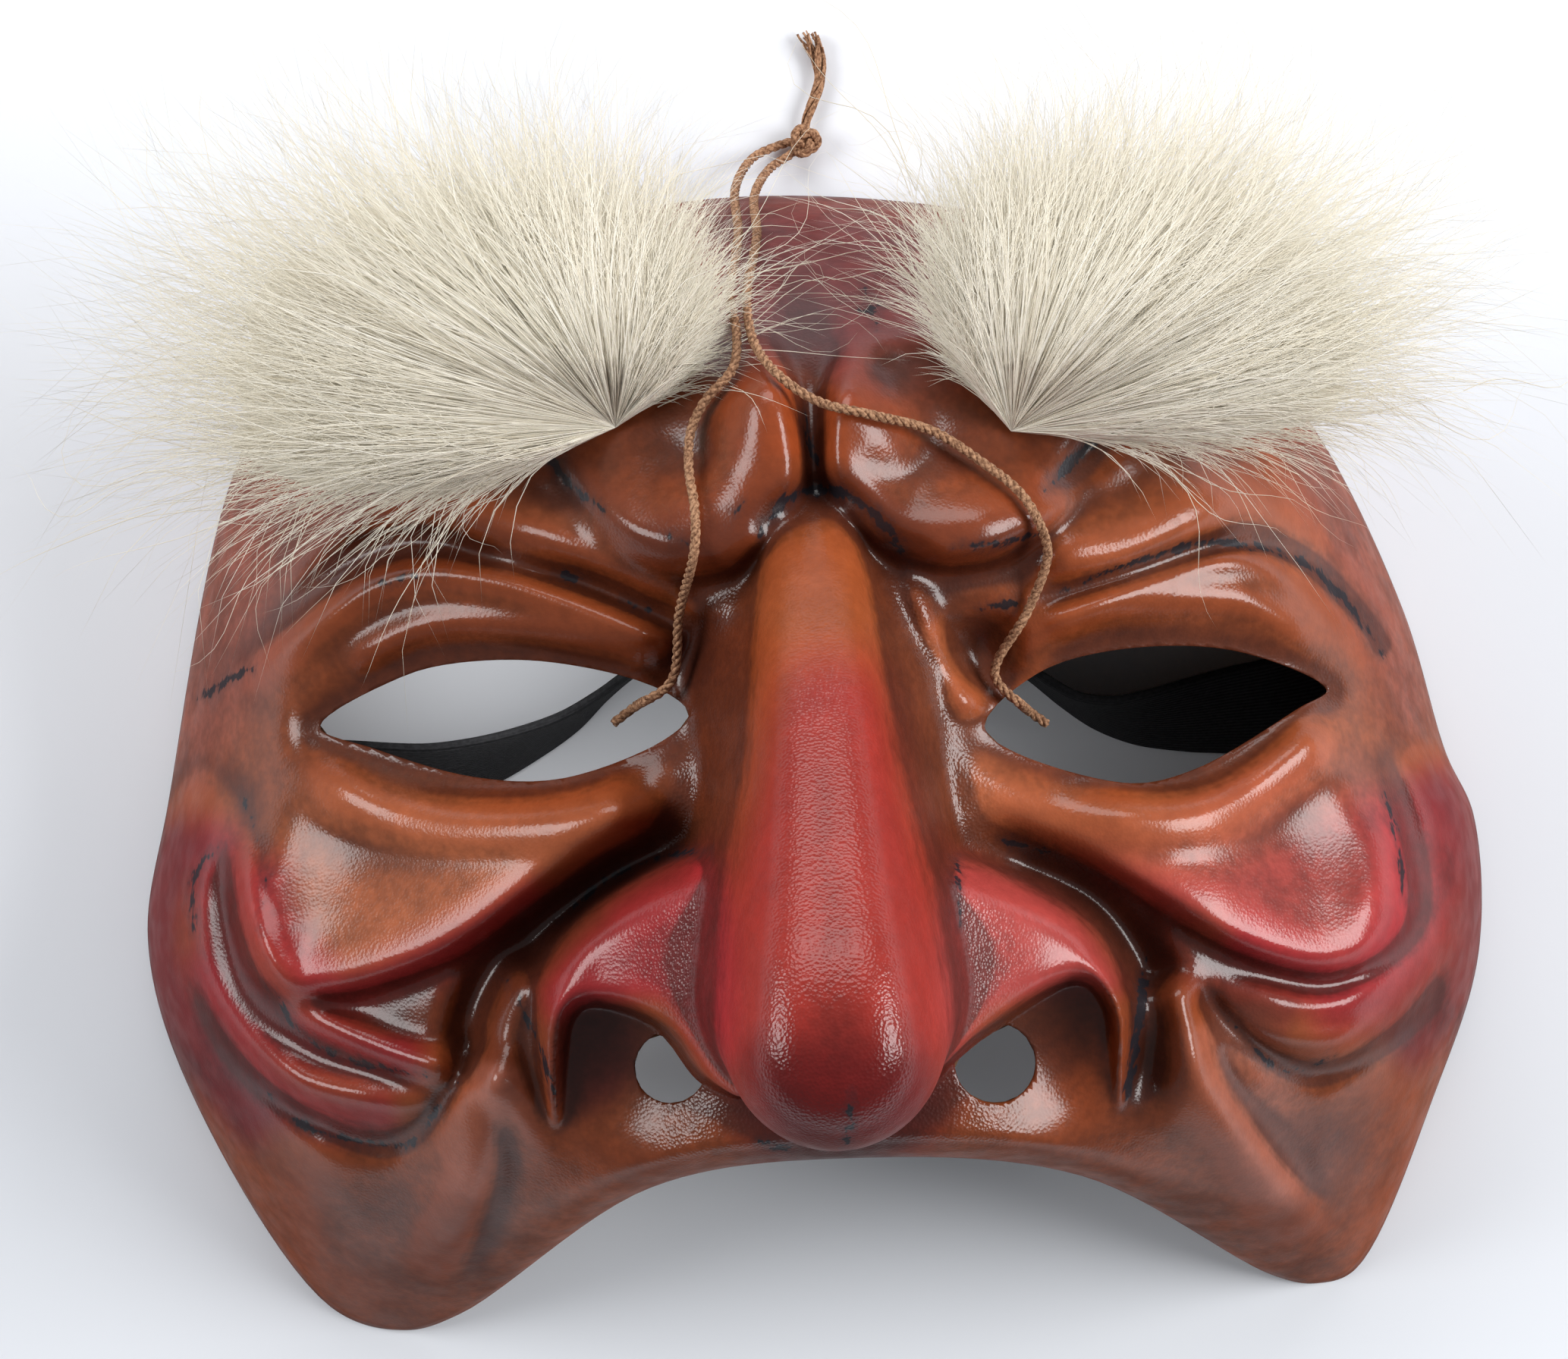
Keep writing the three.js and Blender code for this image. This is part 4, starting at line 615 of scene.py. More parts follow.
def nose_height(across, up):
    half, ridge, flank, slope = stations_at(curve_through(NOSE), up)
    past = np.maximum(NOSE_TIP_START - up, 0) / NOSE_TIP_LENGTH
    reach = np.hypot((across - NOSE_MIDDLE) / half, past)
    rounded = np.sqrt(1 - np.clip(reach, 0, 1) ** NOSE_FULLNESS)
    height = flank + (ridge - flank) * rounded - slope * np.maximum(reach - 1, 0) * half
    return np.where(up > NOSE_TOP, -99, height)


def face_relief(relief):
    """The moulded face without its side walls."""
    x, y = relief.x, relief.y
    heights = FACE_TOP - x ** 2 / (2 * FACE_SPAN)
    heights -= FOREHEAD_CURVE * np.maximum(y - FOREHEAD_START, 0) ** 2
    heights -= JOWL_CURVE * np.maximum(JOWL_START - y, 0) ** 2 * ease((np.abs(x) - 12) / 36)
    for fold in FOLDS.values():
        add_fold(relief, heights, *fold)
    for swelling in SWELLINGS.values():
        add_swelling(relief, heights, *swelling)
    for side, around in EYES.items():
        line = curve_through(around, True)
        window = relief.window(side, box_of(line, 3 * SOCKET_WIDTH))
        distance, _ = nearest(line, x[window] * side, y[window], True)
        heights[window] -= SOCKET_DEPTH * np.exp(-(np.maximum(-distance, 0) / SOCKET_WIDTH) ** 2)
    heights = softened(heights, SOFTNESS + 0.2)
    for side, around in WINGS.items():
        add_wing(relief, heights, side, around)
    return softened(blend_max(nose_height(x, y), heights, NOSE_BLEND), SOFTNESS)


def inset(heights, thickness):
    """The surface that lies a thickness below this one."""
    cells = int(thickness / RELIEF_STEP)
    lowest = heights - thickness
    wide = np.pad(heights, cells, mode="edge")
    for u in range(-cells, cells + 1):
        for v in range(-cells, cells + 1):
            away = math.hypot(u, v) * RELIEF_STEP
            if away < thickness:
                near = wide[cells + u:cells + u + heights.shape[0], cells + v:cells + v + heights.shape[1]]
                lowest = np.minimum(lowest, near - math.sqrt(thickness ** 2 - away ** 2))
    return lowest


relief = Relief()
FACE = face_relief(relief)
LINING = inset(FACE, LEATHER)
rim = curve_through(RIM, True, 12)
eye_lines = {side: curve_through(around, True) for side, around in EYES.items()}
wing_lines = {side: curve_through(around, True) for side, around in WINGS.items()}
BED = softened(FACE, 2.1)
# How far the face stands above or below its surroundings; it lightens crests as wear and painted highlight
# and darkens creases as painted shade
SHARPNESS = 1.8 * (FACE - softened(FACE, 1.2)) + 0.7 * (FACE - softened(FACE, 3.5))

# The frame's origin is under the middle of the mask, so the outlines move by the difference
shell_low, shell_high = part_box("mask_shell")
SHIFT = [(shell_low[k] + shell_high[k]) / 2 / MM - (rim[:, k].min() + rim[:, k].max()) / 2 for k in (0, 1)]


def hang_of(up, height):
    """How far the nose hangs over the lip, at places of this height."""
    return DROOP * ease((height - FACE_TOP) / DROOP_RISE) * ease((DROOP_START - up) / DROOP_LENGTH)


def place(across, up, height):
    """From places on the outlines and their heights to true places in the frame, in metres."""
    nearer = 1 - height / VIEW_HEIGHT
    x = VIEW_PLACE[0] + (across - VIEW_PLACE[0]) * nearer + SHIFT[0]
    y = VIEW_PLACE[1] + (up - hang_of(up, height) - VIEW_PLACE[1]) * nearer + SHIFT[1]
    return np.stack(np.broadcast_arrays(x, y, height), -1) * MM


def wall_at(across, up):
    """Height of the rim nearest to places, and width of the wall there, blended from round the rim."""
    width = np.zeros(np.shape(across))
    weight = np.zeros(np.shape(across))
    for point in rim:
        share = 1 / (1 + (across - point[0]) ** 2 + (up - point[1]) ** 2) ** 2
        width += point[3] * share
        weight += share
    _, share = nearest(rim, across, up, True)
    return np.maximum(0, carried(rim, share, 2)), width / weight


def outside(across, up, depth):
    height, width = wall_at(across, up)
    return height + (relief.sample(FACE, across, up) - height) * quarter_round(depth / width)


def ground_at(across, up):
    """Height of the leather, or of the table beside it."""
    depth, _ = nearest(rim, across, up, True)
    return np.where(depth > 0, outside(across, up, np.maximum(depth, 0)), 0)


def inside(across, up, depth):
    height, width = wall_at(across, up)
    top = np.maximum(relief.sample(LINING, across, up), height + 0.6)
    return height + (top - height) * quarter_round((depth - LEATHER) / (width - LEATHER))


def into_hole(across, up):
    """How far places are inside a hole, negative outside it."""
    most = np.full(np.shape(across), -np.inf)
    for side, line in eye_lines.items():
        most = np.maximum(most, nearest(line, across * side, up, True)[0])
    for side, (out, middle, radius) in NOSTRILS.items():
        circle = radius - np.hypot(across * side - out, up - middle)
        clear = -nearest(wing_lines[side], across * side, up, True)[0] - 1
        most = np.maximum(most, np.minimum(circle, clear))
    return most


def make_mesh(name, points, faces, slot, replaced, values=()):
    """A smooth piece of the mask with values at its corners, which stands for a node of the frame."""
    mesh = bpy.data.meshes.new(name)
    mesh.from_pydata(np.asarray(points).tolist(), [], [list(map(int, face)) for face in faces])
    mesh.polygons.foreach_set("use_smooth", [True] * len(mesh.polygons))
    for title, value in dict(values).items():
        is_color = np.ndim(value) == 2
        layer = mesh.attributes.new(title, "FLOAT_COLOR" if is_color else "FLOAT", "POINT")
        layer.data.foreach_set("color" if is_color else "value", np.ravel(value).astype(np.float32))
    mesh.materials.append(MATERIALS[slot])
    piece = bpy.data.objects.new(name, mesh)
    bpy.context.scene.collection.objects.link(piece)
    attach(piece, "root")
    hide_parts(replaced)
    return piece


def rim_side(start, end, count):
    """Evenly spaced places along the rim from one corner to another."""
    steps = len(rim) // len(RIM)
    order = np.arange(start * steps, (end if end > start else end + len(RIM)) * steps + 1) % len(rim)
    line = rim[order, :2]
    along = np.concatenate([[0], np.cumsum(np.hypot(*np.diff(line, axis=0).T))])
    goal = np.linspace(0, along[-1], count + 1)
    return np.stack([np.interp(goal, along, line[:, k]) for k in (0, 1)], -1)


def rim_sides(across, along):
    return (rim_side(LEFT_JOWL, RIGHT_JOWL, across), rim_side(RIGHT_JOWL, RIGHT_TEMPLE, along),
            rim_side(RIGHT_TEMPLE, LEFT_TEMPLE, across)[::-1],
            rim_side(LEFT_TEMPLE, LEFT_JOWL, along)[::-1])


def finer(grid, times):
    """A grid of places with more places between those that it has."""
    for axis in (0, 1):
        at = np.linspace(0, grid.shape[axis] - 1, (grid.shape[axis] - 1) * times + 1)
        low = np.minimum(at.astype(int), grid.shape[axis] - 2)
        t = (at - low).reshape((-1, 1, 1) if axis == 0 else (1, -1, 1))
        grid = mix(grid.take(low, axis), grid.take(low + 1, axis), t)
    return grid


def relaxed(grid, heights_at, rounds):
    """A grid drawn together where the relief is steep, its border kept."""
    for _ in range(rounds):
        heights = heights_at(grid)
        middle = grid[1:-1, 1:-1]
        total = np.zeros(middle.shape)
        weight = np.zeros(middle.shape[:2])
        for beside in ((slice(0, -2), slice(1, -1)), (slice(2, None), slice(1, -1)),
                       (slice(1, -1), slice(0, -2)), (slice(1, -1), slice(2, None))):
            flat = np.hypot(*np.moveaxis(grid[beside] - middle, -1, 0))
            rise = heights[beside] - heights[1:-1, 1:-1]
            stretch = np.minimum(4, np.hypot(flat, rise) / np.maximum(flat, PROBE))
            total += grid[beside] * stretch[..., None]
            weight += stretch
        grid[1:-1, 1:-1] = mix(middle, total / weight[..., None], 0.6)
    return grid


def face_places(across, along, times):
    """A grid of places that fills the rim."""
    bottom, right, top, left = rim_sides(across, along)
    u = np.linspace(0, 1, across + 1)[:, None, None]
    v = np.linspace(0, 1, along + 1)[None, :, None]
    corners = mix(mix(bottom[0], bottom[-1], u), mix(top[0], top[-1], u), v)
    grid = mix(bottom[:, None], top[:, None], v) + mix(left[None], right[None], u) - corners
    grid = finer(relaxed(grid, relief_whole, RELAX_ROUNDS), times)
    bottom, right, top, left = rim_sides(across * times, along * times)
    grid[:, 0], grid[-1], grid[:, -1], grid[0] = bottom, right, top, left
    return relaxed(grid, relief_whole, SMOOTH_ROUNDS)


COARSE = 3
coarse_x, coarse_y = relief.x[::COARSE, ::COARSE], relief.y[::COARSE, ::COARSE]
coarse_depth, _ = nearest(curve_through(RIM, True, 5), coarse_x, coarse_y, True)
WHOLE = outside(coarse_x, coarse_y, np.maximum(coarse_depth, 0))


def relief_whole(places):
    """Height of the face with its side walls, read from a coarse grid."""
    return relief.sample(WHOLE, places[..., 0], places[..., 1], COARSE * RELIEF_STEP)


def onto_hole_edge(points):
    for _ in range(6):
        x, y = points.T
        depth = into_hole(x, y)
        slope = np.stack([into_hole(x + PROBE, y) - into_hole(x - PROBE, y),
                          into_hole(x, y + PROBE) - into_hole(x, y - PROBE)], -1) / (2 * PROBE)
        square = np.maximum((slope ** 2).sum(1), 0.05)
        points = points - (0.8 * depth / square)[:, None] * slope
    return points


def face_triangles(grid, snap):
    """Triangles over the grid of places, with the holes cut out of them."""
    places = grid.reshape(-1, 2).copy()
    depths = into_hole(*places.T)
    near = np.abs(depths) < snap
    places[near] = onto_hole_edge(places[near])
    depths[near] = 0
    index = np.arange(len(places)).reshape(grid.shape[:2])
    a, b, c, d = (part.ravel() for part in (index[:-1, :-1], index[1:, :-1], index[1:, 1:], index[:-1, 1:]))
    heights = relief.sample(FACE, *places.T)

    def misses(p, q):
        middle = (places[p] + places[q]) / 2
        return np.abs((heights[p] + heights[q]) / 2 - relief.sample(FACE, *middle.T))

    first = (misses(a, c) < misses(b, d))[:, None]
    one = np.where(first, np.stack([a, b, c], 1), np.stack([a, b, d], 1))
    two = np.where(first, np.stack([a, c, d], 1), np.stack([b, c, d], 1))
    triangles = np.vstack([one, two])
    high = (depths[triangles] > 0).any(1)
    low = (depths[triangles] < 0).any(1)
    kept = triangles[~high & low].tolist()
    mixed = triangles[high & low].tolist()
    cuts = {}
    for corners in mixed:
        for p, q in zip(corners, corners[1:] + corners[:1]):
            if depths[p] * depths[q] < 0:
                cuts.setdefault((min(p, q), max(p, q)), len(places) + len(cuts))
    p, q = np.array(list(cuts)).T
    t = (depths[p] / (depths[p] - depths[q]))[:, None]
    places = np.vstack([places, onto_hole_edge(mix(places[p], places[q], t))])
    for corners in mixed:
        shape = []
        for p, q in zip(corners, corners[1:] + corners[:1]):
            if depths[p] <= 0:
                shape.append(p)
            if depths[p] * depths[q] < 0:
                shape.append(cuts[(min(p, q), max(p, q))])
        kept += [[shape[0], shape[k - 1], shape[k]] for k in range(2, len(shape))]
    used, faces = np.unique(np.array(kept), return_inverse=True)
    return places[used], faces.reshape(-1, 3)


def border(triangles, count):
    """The edges of an open mesh, in the order in which its triangles run."""
    edges = np.vstack([triangles[:, [0, 1]], triangles[:, [1, 2]], triangles[:, [2, 0]]])
    back = edges[:, 1] * count + edges[:, 0]
    return edges[~np.isin(edges[:, 0] * count + edges[:, 1], back)]


def skins(places):
    """Heights of the leather's outside, and places and heights of its inside."""
    x, y = places.T
    depth, _ = nearest(rim, x, y, True)
    on_rim = np.abs(depth) < 0.02
    gx = nearest(rim, x + PROBE, y, True)[0] - nearest(rim, x - PROBE, y, True)[0]
    gy = nearest(rim, x, y + PROBE, True)[0] - nearest(rim, x, y - PROBE, True)[0]
    length = np.maximum(np.hypot(gx, gy), 1e-6)
    shift = LEATHER * np.maximum(0, 1 - depth / (4 * LEATHER)) ** 2
    u, v = x + gx / length * shift, y + gy / length * shift
    height = outside(x, y, np.where(on_rim, 0, depth))
    under = np.where(on_rim, height, np.minimum(inside(u, v, depth + shift), height))
    return place(x, y, height), place(u, v, under)


def normals_of(points, triangles):
    a, b, c = (points[triangles[:, k]] for k in range(3))
    flat = np.cross(b - a, c - a)
    total = np.zeros(points.shape)
    for k in range(3):
        for axis in range(3):
            total[:, axis] += np.bincount(triangles[:, k], flat[:, axis], len(points))
    return total / np.maximum(np.linalg.norm(total, axis=1), 1e-12)[:, None]


def blended(values, triangles, amount, rounds=24):
    """Values at corners, evened out with their neighbours' by this amount at each corner."""
    ends = np.vstack([triangles[:, [0, 1]], triangles[:, [1, 2]], triangles[:, [2, 0]]])
    ends = np.vstack([ends, ends[:, ::-1]])
    count = np.maximum(np.bincount(ends[:, 0], minlength=len(values)), 1)
    for _ in range(rounds):
        sums = [np.bincount(ends[:, 0], values[ends[:, 1], k], len(values)) for k in range(values.shape[1])]
        values = mix(values, np.stack(sums, -1) / count[:, None], amount[:, None])
    return values


def painted(across, up):
    """The colour at places in the picture plane, laid on in areas and then in strokes, some of them painted
    shade and painted highlights.
    """
    dye = np.tile(BASE, (len(across), 1))
    for color, strength, soft, outline in ZONES.values():
        inside_of, _ = nearest(curve_through(outline, True, 6), across, up, True)
        dye = mix(dye, color, (strength * ease(0.5 + inside_of / soft / 1.6))[:, None])
    for color, strength, half, soft, through in STROKES.values():
        away, share = nearest(curve_through(through, steps=6), across, up)
        ends = ease(share / 0.12) * ease((1 - share) / 0.12)
        dye = mix(dye, color, (strength * ends * ease((half + soft - np.abs(away)) / (2 * soft)))[:, None])
    return dye


def ink_distance(across, up):
    """How far places are from a stroke of black paint, negative on it."""
    least = np.full(len(across), NO_INK)
    for half, through in INK:
        away, share = nearest(curve_through(through, steps=6), across, up)
        taper = ease(np.minimum(share, 1 - share) / 0.2)
        least = np.minimum(least, np.abs(away) - 0.7 * half * (0.2 + 0.8 * taper))
    return least


def leather_face():
    places, triangles = face_triangles(face_places(*OUTSIDE_FACETS), 0.1)
    top, under = skins(places)
    level = normals_of(top, triangles)[:, 2]
    wax = ease((level - WAX_FROM) / WAX_OVER)
    x, y = places.T
    hang = hang_of(y, relief.sample(FACE, x, y))
    ink = ink_distance(x, y - hang)
    # The relief's sharpness, which lightens crests as wear and painted highlight and darkens creases as
    # painted shade
    raised = np.clip(relief.sample(SHARPNESS, x, y), -1, 1)
    looks = np.column_stack([painted(x, y - hang), raised])
    looks = blended(looks, triangles, 0.9 * (1 - ease(level / STEEP)))
    dye, raised = looks[:, :3], looks[:, 3]
    edges = border(triangles, len(places))
    rim_ring, new = np.unique(edges, return_inverse=True)
    a, b = edges.T
    inner = len(places) + new.reshape(edges.shape)
    sides = np.vstack([np.stack([b, a, inner[:, 0]], 1), np.stack([b, inner[:, 0], inner[:, 1]], 1)])
    count = len(rim_ring)
    points = np.vstack([top, under[rim_ring]])
    faces = np.vstack([triangles, sides])
    color = np.hstack([np.vstack([dye, np.tile(RAW_EDGE, (count, 1))]), np.ones((len(points), 1))])
    values = {"dye": color}
    for title, value in (("ink", ink), ("raised", raised), ("nose", nose_share(x, y)), ("wax", wax)):
        values[title] = np.append(value, np.full(count, PLAIN[title]))
    make_mesh("leather_face", points, faces, "leather", "mask_shell", values)


def nose_share(across, up):
    """1 over the nose and its wings, falling to 0 beside them."""
    half, *_ = stations_at(curve_through(NOSE), up)
    return ease((1.5 - np.abs(across - NOSE_MIDDLE) / (half + 4)) * 2) * ease((18 - up) / 12)


def leather_lining():
    places, triangles = face_triangles(face_places(*LINING_FACETS), 0.3)
    _, under = skins(places)
    values = {"dye": np.tile((*RAW_INSIDE, 1), (len(places), 1))}
    values.update((title, np.full(len(places), value)) for title, value in PLAIN.items())
    make_mesh("leather_lining", under, triangles[:, ::-1], "leather", "mask_shell", values)


def across_run(middles):
    """Two directions across each point of a line of middles."""
    run = np.gradient(middles, axis=-2)
    run /= np.maximum(np.linalg.norm(run, axis=-1), 1e-12)[..., None]
    first = np.cross(run, NEARLY_UP)
    first /= np.linalg.norm(first, axis=-1)[..., None]
    return first, np.cross(run, first)


def tube(middles, radius, sides):
    """Rings of points round a line of middles, and the faces between them."""
    first, second = across_run(middles)
    angle = 2 * np.pi * np.arange(sides) / sides
    ring = first[:, None] * np.cos(angle)[None, :, None] + second[:, None] * np.sin(angle)[None, :, None]
    return (middles[:, None] + ring * radius).reshape(-1, 3), rod_faces(len(middles), sides)


def rod_faces(rings, sides):
    """The faces between rings of points, and those that close the two ends."""
    a = np.arange((rings - 1) * sides).reshape(-1, sides)
    b = np.roll(a, -1, 1)
    last = (rings - 1) * sides
    between = np.stack([a, b, b + sides, a + sides], -1).reshape(-1, 4).tolist()
    return between + [list(range(sides))[::-1], list(range(last, last + sides))]


def joined(parts):
    points, faces, count = [], [], 0
    for more_points, more_faces in parts:
        points.append(more_points)
        faces += [[k + count for k in face] for face in more_faces]
        count += len(more_points)
    return np.vstack(points), faces


def evenly(line, step):
    """A line of points with even steps between them."""
    along = np.concatenate([[0], np.cumsum(np.linalg.norm(np.diff(line, axis=0), axis=1))])
    goal = np.linspace(0, along[-1], max(2, int(along[-1] / step)))
    return np.stack([np.interp(goal, along, line[:, k]) for k in range(line.shape[1])], -1)


def cord_path(route):
    """Middle of a cord that lies on the leather or on the table, in metres."""
    line = evenly(curve_through(route, steps=12), CORD_STEP)
    x, y = line.T
    height = np.zeros(len(x))
    for angle in np.linspace(0, 2 * np.pi, 12, False):
        u, v = x + CORD_PROBE * np.cos(angle), y + CORD_PROBE * np.sin(angle)
        height = np.maximum(height, ground_at(u, v))
    height += CORD_DIAMETER / 2 + 0.1
    height += CORD_OVER_FUR * ease((y - CORD_ON_FUR[0]) / 6) * ease((CORD_ON_FUR[1] - y) / 5)
    taut = height.copy()
    for _ in range(CORD_ROUNDS):
        taut[1:-1] = np.maximum(height[1:-1], (taut[:-2] + taut[2:]) / 2 - CORD_SLACK)
    taut -= CORD_DIP * ease((into_hole(x, y) - 1.6) / 2)
    return evenly(place(x, y, taut), CORD_STEP * MM)


def twisted(middles, diameter, plies=3, pitch=0.0034):
    """Plies twisted round a line of middles."""
    first, second = across_run(middles)
    along = np.concatenate([[0], np.cumsum(np.linalg.norm(np.diff(middles, axis=0), axis=1))])
    radius = diameter / 2 * 0.50
    parts = []
    for ply in range(plies):
        angle = (2 * np.pi * (along / pitch + ply / plies))[:, None]
        offset = (first * np.cos(angle) + second * np.sin(angle)) * (diameter / 2 - radius)
        parts.append(tube(middles + offset, radius, 7))
    return joined(parts)


def frayed(middles, diameter, fibres=34):
    """Fibres that run along a line of middles and spread apart towards its end."""
    rng = np.random.default_rng(57)
    first, second = across_run(middles)
    share = np.linspace(0, 1, len(middles))
    spread = 0.75 + 0.95 * ease((share - 0.5) / 0.5)
    parts = []
    for _ in range(fibres):
        start, turn = rng.uniform(0, 2 * np.pi), rng.normal(1.6, 0.7)
        out, length = np.sqrt(rng.uniform()), rng.uniform(0.80, 1.0)
        wave = 0.22 * np.sin(share * rng.uniform(5, 11) + rng.uniform(0, 6)) * share
        angle = (start + turn * share * np.pi + wave)[:, None]
        away = (out * spread * (1 + wave))[:, None] * diameter / 2
        offset = (first * np.cos(angle) + second * np.sin(angle) * 0.7) * away
        last = max(4, int(len(middles) * length))
        parts.append(tube((middles + offset)[:last], rng.uniform(0.10, 0.17) * MM, 5))
    return joined(parts)


def elastic_strap():
    line = curve_through(STRAP, steps=8)
    angle = np.radians(line[:, 2])
    half = (STRAP_WIDTH * np.abs(np.sin(angle)) + STRAP_THICKNESS * np.cos(angle)) / 2
    middles = place(line[:, 0], line[:, 1], half + line[:, 3] + STRAP_GAP)
    run = np.gradient(middles, axis=0)
    run[:, 2] = 0
    run /= np.linalg.norm(run, axis=1)[:, None]
    flat = np.stack([-run[:, 1], run[:, 0], np.zeros(len(run))], -1)
    broad = flat * np.cos(angle)[:, None] + np.cross(run, flat) * np.sin(angle)[:, None]
    thick = np.cross(run, broad)
    across = np.linspace(-1, 1, 25)
    section = [(t, 1.0) for t in across] + [(t, -1.0) for t in across[::-1]]
    rows = []
    for t, side in section:
        edge = 1 - 0.6 * np.maximum(0, abs(t) - 0.94) / 0.06
        aside = broad * (t * STRAP_WIDTH / 2 * MM)
        rows.append(middles + aside + thick * (side * edge * STRAP_THICKNESS / 2 * MM))
    points = np.stack(rows, 1).reshape(-1, 3)
    faces = rod_faces(len(middles), len(section))
    width = np.tile([t for t, _ in section], len(middles))
    piece = make_mesh("elastic_band", points, faces, "elastic", "elastic_strap", {"width": width})


class Brow:
    """A fan of fur about the tip where it is glued down."""

    def __init__(self, name):
        self.name = name
        self.tip, reach = FURS[name]
        self.fan = curve_through(reach)
        self.first, self.last = self.fan[0, 0], self.fan[-1, 0]
        self.root = relief.sample(BED, *self.tip) + FUR_GAP

    def reach(self, angle):
        return np.interp(angle, self.fan[:, 0], self.fan[:, 1])

    def lies(self, angle, far):
        """Places, and the heights of the fur's underside and top there."""
        turned = np.radians(angle)
        x = self.tip[0] + far * np.cos(turned)
        y = self.tip[1] + far * np.sin(turned)
        share = np.clip(far / self.reach(angle), 0.02, 1)
        bed = relief.sample(BED, x, y) + FUR_GAP
        bottom = np.maximum(bed, self.root - FUR_SAG[1] * far ** 2)
        top = np.maximum(bed, self.root - FUR_SAG[0] * far ** 2)
        spread = np.clip((angle - self.first) / (self.last - self.first), 0.001, 0.999)
        depth = FUR_DEPTH * np.sin(np.pi * spread) ** 0.5 * np.sin(np.pi * share ** 0.7) ** 0.6
        depth *= mix(0.15, 1, ease(far / self.reach(angle) / 0.22))
        return x, y, mix(bottom, top, share ** 6), top + np.maximum(0.8, depth)

    def lump(self):
        """The dense middle of the fur, under its hairs."""
        rng = np.random.default_rng(len(self.name))
        across, along = 220, 16
        angle = np.linspace(self.first + 2, self.last - 2, across + 1)
        lock = np.interp(angle, np.linspace(self.first, self.last, 46), rng.uniform(0, 1, 46))
        streak = softened(rng.normal(0, 1, (across + 1, 1)), 0.35)[:, :1]
        share = ((np.arange(along + 1) + 0.5) / (along + 0.5))[None]
        angle, lock = angle[:, None], lock[:, None]
        far = self.reach(angle) * share * (0.64 + 0.07 * lock)
        x, y, low, high = self.lies(np.broadcast_to(angle, far.shape), far)
        height = mix(low, high, 0.70 - 0.10 * (1 - lock) * share - 0.25 * share ** 3)
        upper = place(x, y, height).reshape(-1, 3)
        lower = place(x, y, low + 0.3).reshape(-1, 3)
        index = np.arange(len(upper)).reshape(far.shape)
        corners = (index[:-1, :-1], index[:-1, 1:], index[1:, 1:], index[1:, :-1])
        a, b, c, d = (part.ravel() for part in corners)
        triangles = np.vstack([np.stack([a, b, c], 1), np.stack([a, c, d], 1)])
        a, b = border(triangles, len(upper)).T
        count = len(upper)
        faces = np.vstack([triangles, triangles[:, ::-1] + count, np.stack([b, a, a + count], 1),
                           np.stack([b, a + count, b + count], 1)])
        shade = np.clip(0.5 + 0.25 * np.broadcast_to(streak, far.shape), 0, 1).ravel()
        return make_mesh(self.name + "_lump", np.vstack([upper, lower]), faces, "fur", self.name,
                         {"shade": np.tile(shade, 2)})

    def hairs(self, part, seed):
        """Fine tapered hairs that lie out from the tip in soft locks."""
        rng = np.random.default_rng(seed)
        count, locks = HAIRS, LOCKS
        span = self.last - self.first
        lock_angle = self.first + span * (np.arange(locks) + rng.uniform(0, 1, locks)) / locks
        lock_bend = rng.normal(0, 8, locks)
        lock_lift = rng.uniform(0.80, 1.04, locks)
        lock_end = rng.uniform(0.90, 1.06, locks)
        which = rng.integers(0, locks, count)
        loose = rng.random(count) < LOOSE_SHARE
        angle = lock_angle[which] + rng.normal(0, 4.5, count)
        angle = np.where(loose, self.first + span * rng.random(count), angle)
        angle = np.clip(angle, self.first, self.last)
        start = 0.50 * rng.beta(0.8, 1.2, count)
        end = lock_end[which] + rng.normal(0, 0.07, count) - 0.40 * rng.random(count) ** 1.8
        stray = rng.random(count) < STRAY_SHARE
        end = np.where(stray, end + rng.uniform(0.02, 0.16, count), end)
        end = np.clip(end, start + 0.3, LONGEST_HAIR)
        bend = lock_bend[which] + rng.normal(0, 6, count) + np.where(stray, rng.normal(0, 14, count), 0)
        gather = np.where(loose | stray, 0.06, rng.uniform(0.15, 0.5, count))
        layer = np.clip(1.02 - 0.9 * start + rng.normal(0, 0.10, count), 0.3, 1.06) * lock_lift[which]
        layer = np.where(stray, layer + rng.uniform(0, 0.4, count), layer)
        wave = rng.uniform(0, 2 * np.pi, count)
        curl = rng.normal(0, 1.3, count) + np.where(stray, rng.normal(0, 3, count), 0)
        t = np.linspace(0, 1, HAIR_RINGS)[None]
        own = angle[:, None] + bend[:, None] * t ** 2 + curl[:, None] * np.sin(5 * t + wave[:, None]) * t
        lead = lock_angle[which][:, None] + lock_bend[which][:, None] * t ** 2
        turned = mix(own, lead, gather[:, None] * ease(t) ** 1.2)
        share = start[:, None] + (end - start)[:, None] * t
        x, y, low, high = self.lies(turned, self.reach(angle)[:, None] * share)
        rise = ease(np.minimum(1, t * 3.5 + 0.12))
        middles = place(x, y, low + (high - low) * layer[:, None] * rise)
        thick = rng.uniform(0.049, 0.092, count)[:, None] * (1.05 - t ** 2) * MM
        shade = np.clip(rng.normal(0.6, 0.2, count)[:, None] + 0.2 * (0.5 - t), 0, 1)
        kept = self.within(middles)
        piece = hair_mesh(f"{self.name}_hair_{part}", middles[kept], thick[kept], shade[kept], self.name)
        # Pale hair lets light through, so half of the hairs neither cast shadows nor throw light back
        piece.visible_shadow = piece.visible_diffuse = part == 1

    def within(self, middles):
        """Which hairs keep near the frame's box."""
        out = np.abs(middles[..., 0]).max(1) < CAD_BOX[1][0] + HAIR_REACH
        return out & (middles[..., 1].max(1) < CAD_BOX[1][1] + HAIR_REACH)

